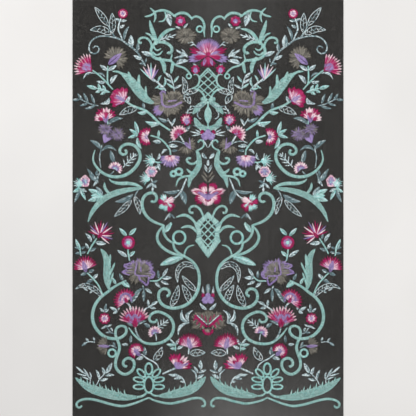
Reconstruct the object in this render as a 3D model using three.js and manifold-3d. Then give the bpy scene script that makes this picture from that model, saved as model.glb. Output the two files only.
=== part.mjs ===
// Embroidered tulle panel: a cut length of dark net, 650 x 1000 mm, lying flat and face up.
// Its left and right halves mirror each other about the middle line. Scrolls, leaves, two open
// lattices and flower heads of thread stand a little proud of the net.
// Millimetres. x runs across, y runs up the panel, z is up. The underside lies on z = 0.

import * as THREE from 'three';
import { mergeVertices } from 'three/addons/utils/BufferGeometryUtils.js';
import Module from 'manifold-3d';

const wasm = await Module();
wasm.setup();

// Driving sizes of the net.
const PANEL_W = 650;
const PANEL_L = 1000;
const NET_T = 1.0;
const MARGIN = 18;
const FOLD_STEPS = 28;

// Driving sizes of the thread work: gap to the net, thickness of a plate and of the tier on it,
// clearance round a flower head, half width of a pointed tip, how far a fan's foot reaches back,
// half breadth of a blade of grass, and how finely the outlines are stepped.
const GAP = 0.3;
const THREAD_T = 1.2;
const TIER_T = 0.5;
const TIER_TEETH = 4;
const CLEAR = 0.8;
const TIP = 0.5;
const CALYX = 5;
const BLADE = 3.4;
const LONG_STEP = 19;
const TURN_STEP = 0.5;
const RING_SIDES = 12;
const LOOP_SIDES = 8;

// Soft folds in the plain margins: where each starts and ends, how wide and how high it stands.
const FOLDS = [
  { x0: -250, y0: -500, x1: -205, y1: -480, wide: 16, high: 0.8 },
  { x0: -120, y0: -500, x1: -60, y1: -480, wide: 20, high: 0.9 },
  { x0: 30, y0: -500, x1: 95, y1: -480, wide: 22, high: 1.0 },
  { x0: 150, y0: -500, x1: 215, y1: -480, wide: 18, high: 0.8 },
  { x0: -315, y0: 500, x1: -230, y1: 481, wide: 10, high: 0.6 },
];

// Thread colours.
const TEAL = 0x8fc8bd;
const LAVENDER = 0x9a80b8;
const MAGENTA = 0xb01050;
const TAUPE = 0x7a756c;

// Scroll work of one half. x is the distance from the middle line. Each ribbon has its course,
// its half width at the start, the middle and the end, and a curl if it ends in one:
// turns, radius at the start and at the end, and side (1 turns to its left, -1 to its right).
const SCROLLS = {
  swag: [
    { course: [[130, 469], [118, 473], [106, 474], [94, 470], [85, 464], [77, 458]], half: [2, 3.4, 2] },
    { course: [[84, 460], [68, 467], [54, 467], [44, 460], [38, 453]], half: [1.8, 3.8, 1.8] },
    { course: [[41, 452], [32, 459], [22, 458], [13, 450], [8.5, 437], [9.5, 425], [8, 410]],
      half: [2, 3.2, 1] },
    { course: [[103, 470], [101, 458], [107, 449], [118, 447]], half: [2.2, 2.2, 0.8] },
    { course: [[139, 480], [129, 470], [126, 458], [130, 445]], half: [0.5, 3.2, 0.5] },
    { course: [[152, 459], [140, 461], [127, 468]], half: [0.5, 2.8, 2.6] },
  ],
  acanthus: [
    { course: [[125, 391], [127, 408], [134, 427], [140, 450]], half: [3, 5.6, 0.5] },
    { course: [[124, 395], [109, 416], [95, 426], [78, 430]], half: [2.4, 4.8, 0.5] },
    { course: [[131, 402], [138, 414], [150, 420]], half: [4, 2.8, 0.5] },
    { course: [[134, 386], [139, 400], [149, 408], [159, 408], [166, 403], [164, 395], [159, 397]],
      half: [3.2, 3, 2.8] },
    { course: [[125, 396], [112, 398], [97, 394], [87, 384], [87, 376], [92, 371], [98, 374]],
      half: [2.4, 4, 3.8] },
    { course: [[130, 389], [128, 382], [121, 378], [112, 383]], half: [2.4, 2.2, 0.5] },
    { course: [[133, 374], [125, 367], [116, 369], [109, 377]], half: [2.8, 2.4, 0.5] },
    { course: [[124, 398], [133, 388], [137, 377], [134, 366], [123, 358], [105, 355], [86, 353]],
      half: [3.6, 4, 3] },
    { course: [[117, 362], [106, 343], [105, 323]], half: [3, 5.8, 0.5] },
    { course: [[90, 356], [88, 361], [86, 369]], half: [3, 2, 0.5] },
    { course: [[84, 351], [86, 337], [89, 323]], half: [2.6, 4.4, 1] },
    { course: [[90, 353], [76, 342], [60, 337], [49, 329], [43, 321]], half: [3, 2.6, 2] },
  ],
  great_leaf: [
    { course: [[212, 325], [196, 315], [176, 294], [152, 264], [127, 249]], half: [0.6, 11.6, 0.8] },
    { course: [[229, 328], [214, 326], [196, 314]], half: [0.6, 3.2, 4] },
    { course: [[180, 300], [186, 312], [191, 327]], half: [6, 4, 0.5] },
    { course: [[164, 286], [166, 302], [165, 320]], half: [6, 4, 0.5] },
    { course: [[147, 264], [149, 276], [149, 292]], half: [5, 3.2, 0.5] },
  ],
  side_spiral: [
    { course: [[271, 139], [275, 125], [275, 113], [267, 98], [252, 84], [234, 76], [213, 75], [192, 82],
      [173, 99], [163, 118], [164, 133], [173, 147], [186, 153], [199, 152], [208, 146], [212, 137],
      [208, 130], [200, 128], [195, 134], [199, 140]], half: [1, 4.3, 3.2] },
  ],
  twin_leaf: [
    { course: [[237, 70], [231, 64], [214, 59], [192, 59], [174, 56], [160, 49]], half: [0.6, 4.8, 2.6] },
    { course: [[156, 48], [188, 44], [218, 37], [245, 25], [262, 11], [277, -8], [288, -34]],
      half: [1.4, 7.2, 0.6] },
    { course: [[248, 61], [247, 48], [236, 33]], half: [0.5, 3.8, 3.4] },
  ],
  heart_scroll: [
    { course: [[27, 139], [22, 122], [22, 102], [31, 86], [42, 71], [47, 48]], half: [2.4, 7, 0.5] },
    { course: [[27, 138], [17, 142], [10, 150], [11, 159], [19, 163], [24, 157]], half: [2, 2.2, 2.4] },
    { course: [[23, 115], [34, 106], [44, 107], [51, 114], [47, 120], [41, 118]], half: [3, 3, 3] },
    { course: [[33, 84], [43, 86], [51, 94]], half: [4, 3.2, 0.5] },
    { course: [[38, 77], [58, 75], [71, 68], [77, 52]], half: [2.6, 3, 0.6] },
    { course: [[62, 74], [67, 82]], half: [2.6, 2.6, 2.6] },
  ],
  heart_frame: [
    { course: [[106, -42], [130, -33], [145, -22], [155, -6], [158, 11], [154, 26], [145, 34], [132, 36],
      [124, 29], [124, 19], [131, 14], [137, 18]], half: [2.6, 4.1, 3.2] },
    { course: [[108, -44], [119, -58], [122, -72], [116, -87], [102, -100], [82, -110], [57, -116]],
      half: [2.4, 3.8, 3] },
    { course: [[106, -40], [107, -56], [101, -70], [91, -80], [80, -85]], half: [2.6, 3.2, 2.6] },
    { course: [[84, -82], [80, -98], [69, -109], [54, -117]], half: [2.8, 3.3, 3] },
    { course: [[62, -114], [53, -118], [38, -128], [28, -140], [22, -157], [21, -179], [25, -199],
      [36, -218], [52, -232], [71, -239], [89, -240], [106, -234], [117, -221], [118, -205], [112, -196],
      [101, -194], [93, -200], [93, -208], [100, -212]], half: [3, 4.2, 3.4] },
    { course: [[104, -58], [96, -47], [87, -36]], half: [1.2, 3.6, 4.4] },
    { course: [[57, -112], [53, -100], [45, -92], [33, -89]], half: [2.6, 2.4, 0.6] },
    { course: [[60, -118], [88, -124], [114, -136]], half: [4, 6.2, 0.6] },
  ],
  low_scroll: [
    { course: [[196, -174], [223, -188], [240, -201], [256, -213], [269, -229], [276, -249], [277, -262],
      [274, -278], [264, -295], [249, -308], [232, -313], [212, -312], [197, -300], [197, -287],
      [207, -282]], half: [2, 4.3, 3.2] },
    { course: [[207, -282], [218, -287], [222, -298], [220, -311], [215, -322], [212, -335], [215, -348],
      [220, -361], [222, -373], [220, -384], [212, -394], [199, -399], [184, -392], [177, -379],
      [179, -366], [192, -360], [203, -368], [202, -378], [194, -381]], half: [3, 3.9, 3.4] },
    { course: [[236, -198], [242, -174], [242, -150], [242, -128], [249, -109], [258, -97]],
      half: [1.8, 8.8, 0.5] },
    { course: [[238, -138], [235, -123], [234, -111]], half: [5, 3, 0.5] },
    { course: [[236, -160], [230, -147], [223, -131]], half: [4.5, 2.8, 0.5] },
    { course: [[237, -184], [232, -171], [227, -155]], half: [4, 2.6, 0.5] },
    { course: [[207, -179], [200, -184], [190, -190]], half: [2, 4, 0.6] },
  ],
  inner_scroll: [
    { course: [[190, -287], [179, -302], [164, -316], [150, -324], [132, -326], [110, -322], [93, -311],
      [84, -295], [83, -278], [91, -263], [106, -253], [122, -249], [136, -255], [141, -266], [136, -273],
      [126, -273], [122, -267]], half: [1.4, 4, 3] },
  ],
  palmette: [
    { course: [[319, -406], [302, -420], [285, -431], [253, -443], [224, -450], [197, -454], [172, -454]],
      half: [0.5, 10.6, 3.6] },
    { course: [[172, -454], [157, -451], [146, -442]], half: [3.6, 3, 1.8] },
    { course: [[5, -403], [18, -420], [38, -434], [71, -444], [97, -449], [118, -451]],
      half: [0.5, 10.6, 2.4] },
    { course: [[118, -451], [131, -449], [139, -442]], half: [2.4, 2.6, 1.6] },
  ],
  border_scroll: [
    { course: [[142, -455], [157, -461], [172, -467], [188, -472], [204, -475], [222, -473], [239, -469],
      [256, -464], [272, -460], [290, -458], [305, -461], [314, -467], [315, -475], [308, -479],
      [302, -474]], half: [2, 3.4, 2.6] },
    { course: [[142, -455], [130, -461], [116, -465], [102, -468], [88, -469], [73, -466], [59, -463],
      [46, -459], [32, -456], [17, -457], [9, -463], [7, -470], [10, -476], [16, -474]],
      half: [2, 3.4, 2.6] },
  ],
};

// Grass along the top edge of the two banks: foot of the first and last blade, sag of the edge
// between them, how many blades and how tall.
const GRASS = [
  { from: [302, -416], to: [198, -447], sag: 2, blades: 8, tall: 11 },
  { from: [18, -413], to: [96, -443], sag: 4, blades: 7, tall: 11 },
];

// Rings and loops: middle, half length, half breadth, angle of the long way, half width of the cord.
const RINGS = [
  { node: 'swag', x: 20, y: 429, rx: 7.2, ry: 7.2, turn: 0, half: 2.4 },
  { node: 'acanthus', x: 46, y: 316, rx: 5.6, ry: 5.6, turn: 0, half: 2.2 },
  { node: 'heart_scroll', x: 70, y: 87, rx: 8, ry: 7.4, turn: 0, half: 3.6 },
  { node: 'heart_scroll', x: 83, y: 82, rx: 6.4, ry: 6.2, turn: 0, half: 3.4 },
  { node: 'heart_frame', x: 69, y: -71, rx: 14.5, ry: 15, turn: 0, half: 3.3 },
  { node: 'low_scroll', x: 230, y: -348, rx: 9, ry: 9, turn: 0, half: 3 },
  { node: 'palmette', x: 142, y: -424, rx: 19, ry: 11, turn: 90, half: 2.9 },
  { node: 'palmette', x: 142, y: -386, rx: 13.4, ry: 8.4, turn: 90, half: 2.9 },
  { node: 'palmette', x: 160, y: -396, rx: 12, ry: 6, turn: 45, half: 2.7 },
  { node: 'palmette', x: 124, y: -396, rx: 12, ry: 6, turn: 135, half: 2.7 },
  { node: 'palmette', x: 166, y: -412, rx: 12.5, ry: 5.6, turn: 12, half: 2.6 },
  { node: 'palmette', x: 118, y: -412, rx: 12.5, ry: 5.6, turn: 168, half: 2.6 },
  { node: 'palmette', x: 166, y: -429, rx: 12.5, ry: 5.6, turn: 0, half: 2.6 },
  { node: 'palmette', x: 118, y: -429, rx: 12.5, ry: 5.6, turn: 180, half: 2.6 },
];

// Flower heads of one half. Fans open from their foot: x, y, heading, spread, radius, teeth and
// their depth. Round heads have rx and ry. The tier is a raised middle or calyx.
const HEADS = [
  { name: 'cornflower', x: 53, y: 413, rx: 26, ry: 20, teeth: 13, deep: 0.1, tint: TAUPE, tier: 0.4 },
  { name: 'taupe_fan', x: 219, y: 362, fan: 248, turn: 124, r: 30, teeth: 13,
    deep: 0.14, tint: TAUPE, tier: 0.45 },
  { name: 'side_carnation', x: 278, y: 330, fan: 104, turn: 36, r: 44, teeth: 10,
    deep: 0.16, tint: MAGENTA, tier: 0.5 },
  { name: 'leaf_carnation', x: 202, y: 259, fan: 134, turn: 42, r: 33, teeth: 9,
    deep: 0.12, tint: MAGENTA, tier: 0.45 },
  { name: 'small_pink', x: 245, y: 212, fan: 160, turn: 75, r: 29, teeth: 9,
    deep: 0.16, tint: MAGENTA, tier: 0.45 },
  { name: 'high_peony', x: 95, y: 254, rx: 42, ry: 28, teeth: 13, deep: 0.12, tint: TAUPE, tier: 0.5 },
  { name: 'tulip_head', x: 99, y: 13, rx: 20, ry: 20, teeth: 8, deep: 0.16, tint: MAGENTA, tier: 0.4 },
  { name: 'spiky_head', x: 259, y: -66, fan: 190, turn: 118, r: 37, teeth: 11,
    deep: 0.34, tint: MAGENTA, tier: 0.35 },
  { name: 'side_pink', x: 292, y: -147, fan: 152, turn: 78, r: 33, teeth: 10,
    deep: 0.14, tint: MAGENTA, tier: 0.45 },
  { name: 'rose', x: 165, y: -153, rx: 39, ry: 32, teeth: 11, deep: 0.12, tint: LAVENDER, tier: 0.5 },
  { name: 'scroll_pink', x: 194, y: -222, fan: 145, turn: 50, r: 33, teeth: 10,
    deep: 0.12, tint: MAGENTA, tier: 0.45 },
  { name: 'great_carnation', x: 175, y: -279, fan: 122, turn: 81, r: 45, teeth: 12,
    deep: 0.16, tint: MAGENTA, tier: 0.5 },
  { name: 'low_pink', x: 45, y: -336, fan: 138, turn: 98, r: 34, teeth: 10,
    deep: 0.14, tint: MAGENTA, tier: 0.45 },
  { name: 'trumpet', x: 78, y: -383, fan: 104, turn: 121, r: 41, teeth: 9,
    deep: 0.14, tint: MAGENTA, tier: 0.5 },
];

// Heads on the middle line.
const MIDDLE_HEADS = [
  { name: 'top_peony', x: 0, y: 372, rx: 47, ry: 35, teeth: 13, deep: 0.13, tint: LAVENDER, tier: 0.5 },
  { name: 'small_middle', x: 0, y: 172, rx: 13, ry: 12, teeth: 6,
    deep: 0.14, tint: LAVENDER, tier: 0.4 },
  { name: 'pansy', x: 0, y: 31, rx: 36, ry: 30, teeth: 7, deep: 0.2, tint: MAGENTA, tier: 0.45 },
  { name: 'thistle_bud', x: 0, y: -222, rx: 12, ry: 23, teeth: 7,
    deep: 0.16, tint: LAVENDER, tier: 0.4 },
  { name: 'low_peony', x: 0, y: -274, rx: 42, ry: 30, teeth: 11, deep: 0.14, tint: TAUPE, tier: 0.5 },
];

// The two lattices on the middle line: the outline of one half, of its open middle where the
// frame is broad, and the bars.
const LATTICES = [
  {
    node: 'high_lattice',
    outline: [[0, 334], [21, 313], [21, 302], [28, 291], [37, 287], [22, 283], [12, 274], [6, 263], [0, 262]],
    bars: { pitch: 13.5, half: 1.3, lean: 42, mid: 300, tall: 36, wide: 37 },
  },
  {
    node: 'low_lattice',
    outline: [[0, -8], [16, -22], [34, -38], [26, -59], [31, -80], [15, -102], [0, -122]],
    open: [[0, -26], [10, -35], [18, -47], [15, -60], [16, -74], [8, -87], [0, -98]],
    bars: { pitch: 13, half: 1.6, lean: 46, mid: -62, tall: 46, wide: 28 },
  },
];

// Ribbons that frame the lattices or spring from them, in one half, mirrored to the other.
const SPRINGING = {
  high_lattice: [
    { course: [[0, 335], [21, 313]], half: [2, 2, 2] },
    { course: [[35, 319], [28, 321], [22, 315], [21, 302], [28, 291], [39, 287]], half: [1, 2.6, 0.6] },
    { course: [[37, 287], [22, 283], [12, 274], [6, 258]], half: [1.2, 2.6, 3] },
    { course: [[2, 257], [10, 262], [18, 261]], half: [3, 5.4, 3] },
    { course: [[3, 257], [22, 243], [37, 225]], half: [4, 6.6, 0.6] },
    { course: [[0, 256], [0, 241]], half: [3, 2.4, 1.4] },
    { course: [[0, 244], [0, 224], [0, 203]], half: [1, 8.6, 1.2] },
    { course: [[0, 206], [0, 190]], half: [1.2, 1.6, 3] },
    { course: [[0, 190], [20, 196], [33, 217]], half: [4, 7, 0.6] },
  ],
  low_lattice: [
    { course: [[29, -38], [41, -24], [56, -17], [77, -22]], half: [2.6, 4, 0.5] },
    { course: [[26, -59], [38, -47], [51, -44], [65, -48]], half: [2.6, 3.8, 0.5] },
    { course: [[11, -21], [18, -5], [29, 4], [40, 3], [45, -5], [41, -12], [35, -11]],
      half: [2.4, 3, 3] },
  ],
};

// Turns a list of corner points into a flat plate of thread.
function plate(points, depth, z, hole) {
  const shape = new THREE.Shape(points.map(([x, y]) => new THREE.Vector2(x, y)));
  if (hole) {
    shape.holes.push(new THREE.Path(hole.map(([x, y]) => new THREE.Vector2(x, y))));
  }
  const geometry = new THREE.ExtrudeGeometry(shape, { depth, bevelEnabled: false, curveSegments: 4 });
  geometry.translate(0, 0, z);
  return geometry;
}

// Closed mesh to solid and back.
function solid(geometry) {
  const bare = geometry.index ? geometry.toNonIndexed() : geometry.clone();
  bare.deleteAttribute('normal');
  bare.deleteAttribute('uv');
  const welded = mergeVertices(bare, 1e-4);
  const mesh = new wasm.Mesh({
    numProp: 3,
    vertProperties: new Float32Array(welded.attributes.position.array),
    triVerts: new Uint32Array(welded.index.array),
  });
  return new wasm.Manifold(mesh);
}

function unsolid(body) {
  const mesh = body.getMesh();
  const geometry = new THREE.BufferGeometry();
  geometry.setAttribute('position', new THREE.BufferAttribute(new Float32Array(mesh.vertProperties), 3));
  geometry.setIndex(new THREE.BufferAttribute(new Uint32Array(mesh.triVerts), 1));
  geometry.computeVertexNormals();
  return geometry;
}

function fuse(bodies) {
  return bodies.reduce((sum, body) => sum.add(body));
}

// Points of a curl that goes on from the last stretch of a course.
function curlPoints(course, [turns, from, to, side]) {
  const [x1, y1] = course[course.length - 1];
  const [x0, y0] = course[course.length - 2];
  const heading = Math.atan2(y1 - y0, x1 - x0);
  const across = heading + (side * Math.PI) / 2;
  const cx = x1 + from * Math.cos(across);
  const cy = y1 + from * Math.sin(across);
  const count = Math.max(3, Math.round(turns * 9));
  const points = [];
  for (let i = 1; i <= count; i += 1) {
    const t = i / count;
    const radius = from + (to - from) * t;
    const angle = across + Math.PI + side * turns * 2 * Math.PI * t;
    points.push([cx + radius * Math.cos(angle), cy + radius * Math.sin(angle)]);
  }
  return points;
}

// Stops along a curve, close where it turns and wide apart where it runs straight.
function stops(curve) {
  const fine = Math.max(8, Math.round(curve.getLength() / 1.5));
  const picked = [0];
  let run = 0;
  let turned = 0;
  let before = curve.getTangentAt(0);
  for (let i = 1; i < fine; i += 1) {
    const tangent = curve.getTangentAt(i / fine);
    run += curve.getLength() / fine;
    turned += before.angleTo(tangent);
    before = tangent;
    if (run > LONG_STEP || turned > TURN_STEP) {
      picked.push(i / fine);
      run = 0;
      turned = 0;
    }
  }
  if (picked.length < 4) {
    return [0, 0.25, 0.5, 0.75, 1];
  }
  return picked.concat(1);
}

// A ribbon of thread along a smooth course, with its half width eased from start to end.
function ribbon({ course, half, curl }, z, depth, side) {
  const knots = curl ? course.concat(curlPoints(course, curl)) : course;
  const curve = new THREE.CatmullRomCurve3(
    knots.map(([x, y]) => new THREE.Vector3(side * x, y, 0)), false, 'centripetal');
  const [start, middle, end] = half;
  const left = [];
  const right = [];
  for (const t of stops(curve)) {
    const p = curve.getPointAt(t);
    const d = curve.getTangentAt(t);
    const ends = start + (end - start) * t;
    const swell = Math.sin(Math.PI * t) ** 0.7;
    const w = Math.max(TIP, ends + (middle - ends) * swell);
    left.push([p.x - d.y * w, p.y + d.x * w]);
    right.push([p.x + d.y * w, p.y - d.x * w]);
  }
  return solid(plate(left.concat(right.reverse()), depth, z));
}

function ellipse(x, y, rx, ry, turn, count) {
  const a = THREE.MathUtils.degToRad(turn);
  const points = [];
  for (let i = 0; i < count; i += 1) {
    const t = (i / count) * 2 * Math.PI;
    const u = rx * Math.cos(t);
    const v = ry * Math.sin(t);
    points.push([x + u * Math.cos(a) - v * Math.sin(a), y + u * Math.sin(a) + v * Math.cos(a)]);
  }
  return points;
}

function ring({ x, y, rx, ry, turn, half }, z, depth, side) {
  const count = rx > ry ? LOOP_SIDES : RING_SIDES;
  const outer = ellipse(side * x, y, rx + half, ry + half, side * turn, count);
  const inner = ellipse(side * x, y, rx - half, ry - half, side * turn, count);
  return solid(plate(outer, depth, z, inner.reverse()));
}

// Blades of grass along a bank.
function grass({ from, to, sag, blades, tall }, z, depth, side) {
  const bodies = [];
  for (let i = 0; i < blades; i += 1) {
    const t = i / (blades - 1);
    const x = from[0] + (to[0] - from[0]) * t;
    const y = from[1] + (to[1] - from[1]) * t - sag * Math.sin(Math.PI * t);
    const lean = Math.sign(from[0] - to[0]) * BLADE;
    const foot = side * x;
    const tip = side * (x + lean);
    const blade = [[foot - BLADE, y], [foot + BLADE, y], [tip, y + tall]];
    bodies.push(solid(plate(blade, depth, z)));
  }
  return bodies;
}

// Outline of a flower head with toothed petals.
function headOutline(head, size, teeth, grow, side) {
  const points = [];
  const count = teeth * 2;
  if (head.fan) {
    points.push([head.x - (CALYX + grow) * Math.cos(THREE.MathUtils.degToRad(head.turn)),
      head.y - (CALYX + grow) * Math.sin(THREE.MathUtils.degToRad(head.turn))]);
    for (let i = 0; i <= count; i += 1) {
      const a = THREE.MathUtils.degToRad(head.turn + head.fan * (i / count - 0.5));
      const notch = i % 2 === 0 ? head.deep : 0;
      const crown = 1 - 0.12 * Math.abs(2 * (i / count) - 1) ** 2;
      const r = head.r * size * crown * (1 - notch) + grow;
      points.push([head.x + r * Math.cos(a), head.y + r * Math.sin(a)]);
    }
  } else {
    for (let i = 0; i < count; i += 1) {
      const a = (i / count) * 2 * Math.PI;
      const notch = i % 2 === 0 ? head.deep : 0;
      const rx = head.rx * size * (1 - notch) + grow;
      const ry = head.ry * size * (1 - notch) + grow;
      points.push([head.x + rx * Math.sin(a), head.y - ry * Math.cos(a)]);
    }
  }
  const placed = points.map(([x, y]) => [side * x, y]);
  return side < 0 ? placed.reverse() : placed;
}

// Petals with a raised middle or calyx, and the clear space that they take from the scrolls.
function headBody(head, z, depth, side) {
  const petals = solid(plate(headOutline(head, 1, head.teeth, 0, side), depth, z));
  const middle = solid(plate(headOutline(head, head.tier, TIER_TEETH, 0, side), depth + TIER_T, z));
  return petals.add(middle);
}

function headCutter(head, side) {
  return solid(plate(headOutline(head, 1, head.teeth, CLEAR, side), 20, -5));
}

// Whole outline from its right half.
function mirrored(half) {
  const other = half.slice(1, -1).map(([x, y]) => [-x, y]).reverse();
  return half.concat(other).reverse();
}

// Open lattice: leaning bars within the outline, and a broad frame where it has one.
function lattice({ outline, open, bars }, z, depth) {
  const whole = solid(plate(mirrored(outline), depth, z));
  const reach = bars.tall + bars.wide;
  const count = Math.ceil(reach / bars.pitch);
  const rods = [];
  for (const way of [-1, 1]) {
    for (let i = -count; i <= count; i += 1) {
      const rod = new THREE.BoxGeometry(reach * 3, bars.half * 2, depth);
      rod.translate(0, (i + 0.5) * bars.pitch, 0);
      rod.rotateZ(THREE.MathUtils.degToRad(way * bars.lean));
      rod.translate(0, bars.mid, z + depth / 2);
      rods.push(solid(rod));
    }
  }
  const mesh = fuse(rods).intersect(whole);
  if (!open) {
    return mesh;
  }
  return mesh.add(solid(plate(mirrored(outline), depth, z, mirrored(open).reverse())));
}

// Height of the soft folds, which fade out before the thread work begins.
function foldHeight(x, y) {
  const edge = PANEL_L / 2 - Math.abs(y);
  const fade = THREE.MathUtils.smoothstep(MARGIN - edge, 1.5, MARGIN * 0.7);
  let high = 0;
  for (const fold of FOLDS) {
    const along = (y - fold.y0) / (fold.y1 - fold.y0);
    const middle = fold.x0 + (fold.x1 - fold.x0) * along;
    const off = (x - middle) / fold.wide;
    if (Math.sign(y) === Math.sign(fold.y0)) {
      high += fold.high * Math.exp(-off * off * 2);
    }
  }
  return high * fade;
}

// One plain margin with its folds, and the whole net.
function foldStrip(sign) {
  const strip = new THREE.BoxGeometry(PANEL_W, MARGIN, NET_T, FOLD_STEPS, 3, 1);
  strip.translate(0, sign * (PANEL_L / 2 - MARGIN / 2), NET_T / 2);
  const place = strip.attributes.position;
  for (let i = 0; i < place.count; i += 1) {
    if (place.getZ(i) > NET_T / 2) {
      place.setZ(i, NET_T + foldHeight(place.getX(i), place.getY(i)));
    }
  }
  return solid(strip);
}

function net() {
  const flat = new THREE.BoxGeometry(PANEL_W, PANEL_L - MARGIN * 2 + 1, NET_T);
  flat.translate(0, 0, NET_T / 2);
  return fuse([solid(flat), foldStrip(-1), foldStrip(1)]);
}

// Builds one named mesh with its own thread or net material.
function piece(name, body, color, roughness) {
  const material = new THREE.MeshStandardMaterial({ color, roughness, metalness: 0 });
  const mesh = new THREE.Mesh(unsolid(body), material);
  mesh.name = name;
  return mesh;
}

const panel = new THREE.Group();
panel.name = 'embroidered_tulle_panel';
const base = NET_T + GAP;

panel.add(piece('tulle_ground', net(), 0x3c3c3a, 0.95));

const sides = [{ sign: -1, word: 'left' }, { sign: 1, word: 'right' }];
const cutters = [];
for (const head of MIDDLE_HEADS) {
  cutters.push(headCutter(head, 1));
  panel.add(piece(head.name, headBody(head, base, THREAD_T, 1), head.tint, 0.6));
}
for (const { sign, word } of sides) {
  for (const head of HEADS) {
    cutters.push(headCutter(head, sign));
    panel.add(piece(`${head.name}_${word}`, headBody(head, base, THREAD_T, sign), head.tint, 0.6));
  }
}
const heads = fuse(cutters);

for (const frame of LATTICES) {
  const bodies = [lattice(frame, base, THREAD_T)];
  for (const row of SPRINGING[frame.node]) {
    bodies.push(ribbon(row, base, THREAD_T, -1));
    bodies.push(ribbon(row, base, THREAD_T, 1));
  }
  panel.add(piece(frame.node, fuse(bodies).subtract(heads), TEAL, 0.6));
}

for (const { sign, word } of sides) {
  for (const [name, rows] of Object.entries(SCROLLS)) {
    const bodies = rows.map((row) => ribbon(row, base, THREAD_T, sign));
    for (const row of RINGS.filter((entry) => entry.node === name)) {
      bodies.push(ring(row, base, THREAD_T, sign));
    }
    if (name === 'palmette') {
      GRASS.forEach((row) => bodies.push(...grass(row, base, THREAD_T, sign)));
    }
    panel.add(piece(`${name}_${word}`, fuse(bodies).subtract(heads), TEAL, 0.6));
  }
}

export default panel;
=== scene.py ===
import math
from collections import namedtuple

import bmesh
import bpy
import numpy as np
from mathutils import Matrix, Vector


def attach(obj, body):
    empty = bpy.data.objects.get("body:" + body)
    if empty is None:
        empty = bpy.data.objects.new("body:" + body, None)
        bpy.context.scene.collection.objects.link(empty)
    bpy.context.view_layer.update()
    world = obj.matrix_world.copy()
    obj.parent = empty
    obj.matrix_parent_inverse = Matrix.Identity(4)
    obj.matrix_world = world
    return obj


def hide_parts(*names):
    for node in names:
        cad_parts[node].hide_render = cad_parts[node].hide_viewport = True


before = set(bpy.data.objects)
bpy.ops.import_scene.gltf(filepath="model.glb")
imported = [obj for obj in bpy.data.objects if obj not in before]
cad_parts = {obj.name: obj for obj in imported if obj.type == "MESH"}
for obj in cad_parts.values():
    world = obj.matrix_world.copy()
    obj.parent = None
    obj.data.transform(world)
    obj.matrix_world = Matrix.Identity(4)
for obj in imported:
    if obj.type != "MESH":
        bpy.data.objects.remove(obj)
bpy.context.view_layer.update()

# Embroidered tulle panel: a cut length of dark net with scrolls, leaves and flower heads in satin
# stitch. Sizes are in millimetres until a mesh is made. x is the distance from the middle line,
# y runs up the panel, z is up.
MM = 0.001
CHANCE = np.random.default_rng(11)

# Driving sizes of the panel and its net.
PANEL_W = 650
PANEL_L = 1000
NET_Z = 0.8  # height of the net over the floor
CELL = 5  # side of a face of the net sheet
MESH_PITCH = 1.5  # from one hole of the net to the next

# Driving sizes of the stitches. A real machine thread is 0.4 mm, and it is drawn coarser, so that
# single stitches show.
PITCH = 1.0  # from one stitch to the next
BROAD = 1.2  # breadth of a stitch
FILL_BROAD = 1.25  # breadth of a stitch in the rows of a broad ribbon
FRAME_BROAD = 1.3  # breadth of a stitch in grass and in the lattice frame
SATIN_FIRST = 0.3  # from the start of a course to its first satin stitch
SATIN_PITCH = 0.92  # from one satin stitch to the next
SATIN_DRIFT = 0.08  # unevenness of that pitch
SATIN_GROW, SATIN_OVER = 1.04, 0.1  # satin goes past its drawn half width by a factor and a bit more
SATIN_FRAY = 0.16  # unevenness of a satin edge
SATIN_SLANT = 0.35  # lead of a satin stitch for each millimetre of half width
THIN_SLANT = 1.1  # the same in stems under 2 mm of half width
ROW_PITCH = 0.9  # from one row of a broad ribbon to the next
ROW_RAGGED = 0.8  # how much later than its neighbours a row may start, and sooner end
ROW_STAGGER = 0.37  # share of a stitch by which each row is shifted
FILL_STITCH = 6.5  # length of a stitch in these rows
FILL_DRIFT = 0.5  # unevenness of that length
FILL_LEAST = 0.8  # least length of such a stitch
FILL_LEAP = 0.3  # how far it goes on under the next one
FILL_LEAN = 0.35  # how far its ends lean to the left and right, by turns
SHORTEST = 0.6  # least length of a stitch
LEVEL_DRIFT = 0.03  # unevenness of the level of stitches
STITCH_LIFT = 0.25  # height of a stitch's middle over the net
STITCH_DIP = 0.3  # how far its ends go down towards the net
STITCH_HIGH = 0.3  # half thickness of a short stitch
STITCH_SWELL = 0.04  # growth of the half thickness with each millimetre of length
STITCH_TALLEST = 0.62  # greatest half thickness
TWIST_TURN = 1.6  # length of one turn of a thread's twist
DYE_PATCH = 8  # size of a patch of one shade

# Driving sizes of the motifs.
SATIN_HALF = 6.0  # ribbons with a greater half width are filled in rows along them
TIP = 0.5  # least half width of a ribbon
SWELL = 0.7  # how its width swells to the middle: the lower, the fuller
BLADE = 3.4  # half breadth of a blade of grass
BLADE_THREADS = 5
NARROW_LEAF = 4.5  # narrower leaves are sewn straight across
VEIN_PITCH = 5.2  # from one vein of a lace leaf to the next
LACE_STEP = 3.2  # length of a stitch in the outline of a lace leaf
COURSE_STEPS = 24  # steps from one point of a course to the next
COURSE_STEP = 0.8  # step of a course once it is made even

# The camera looks straight down. Its lens and sensor are in millimetres, and its view in metres.
LENS = 85
SENSOR = 36
VIEW_WIDE = 0.998

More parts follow.
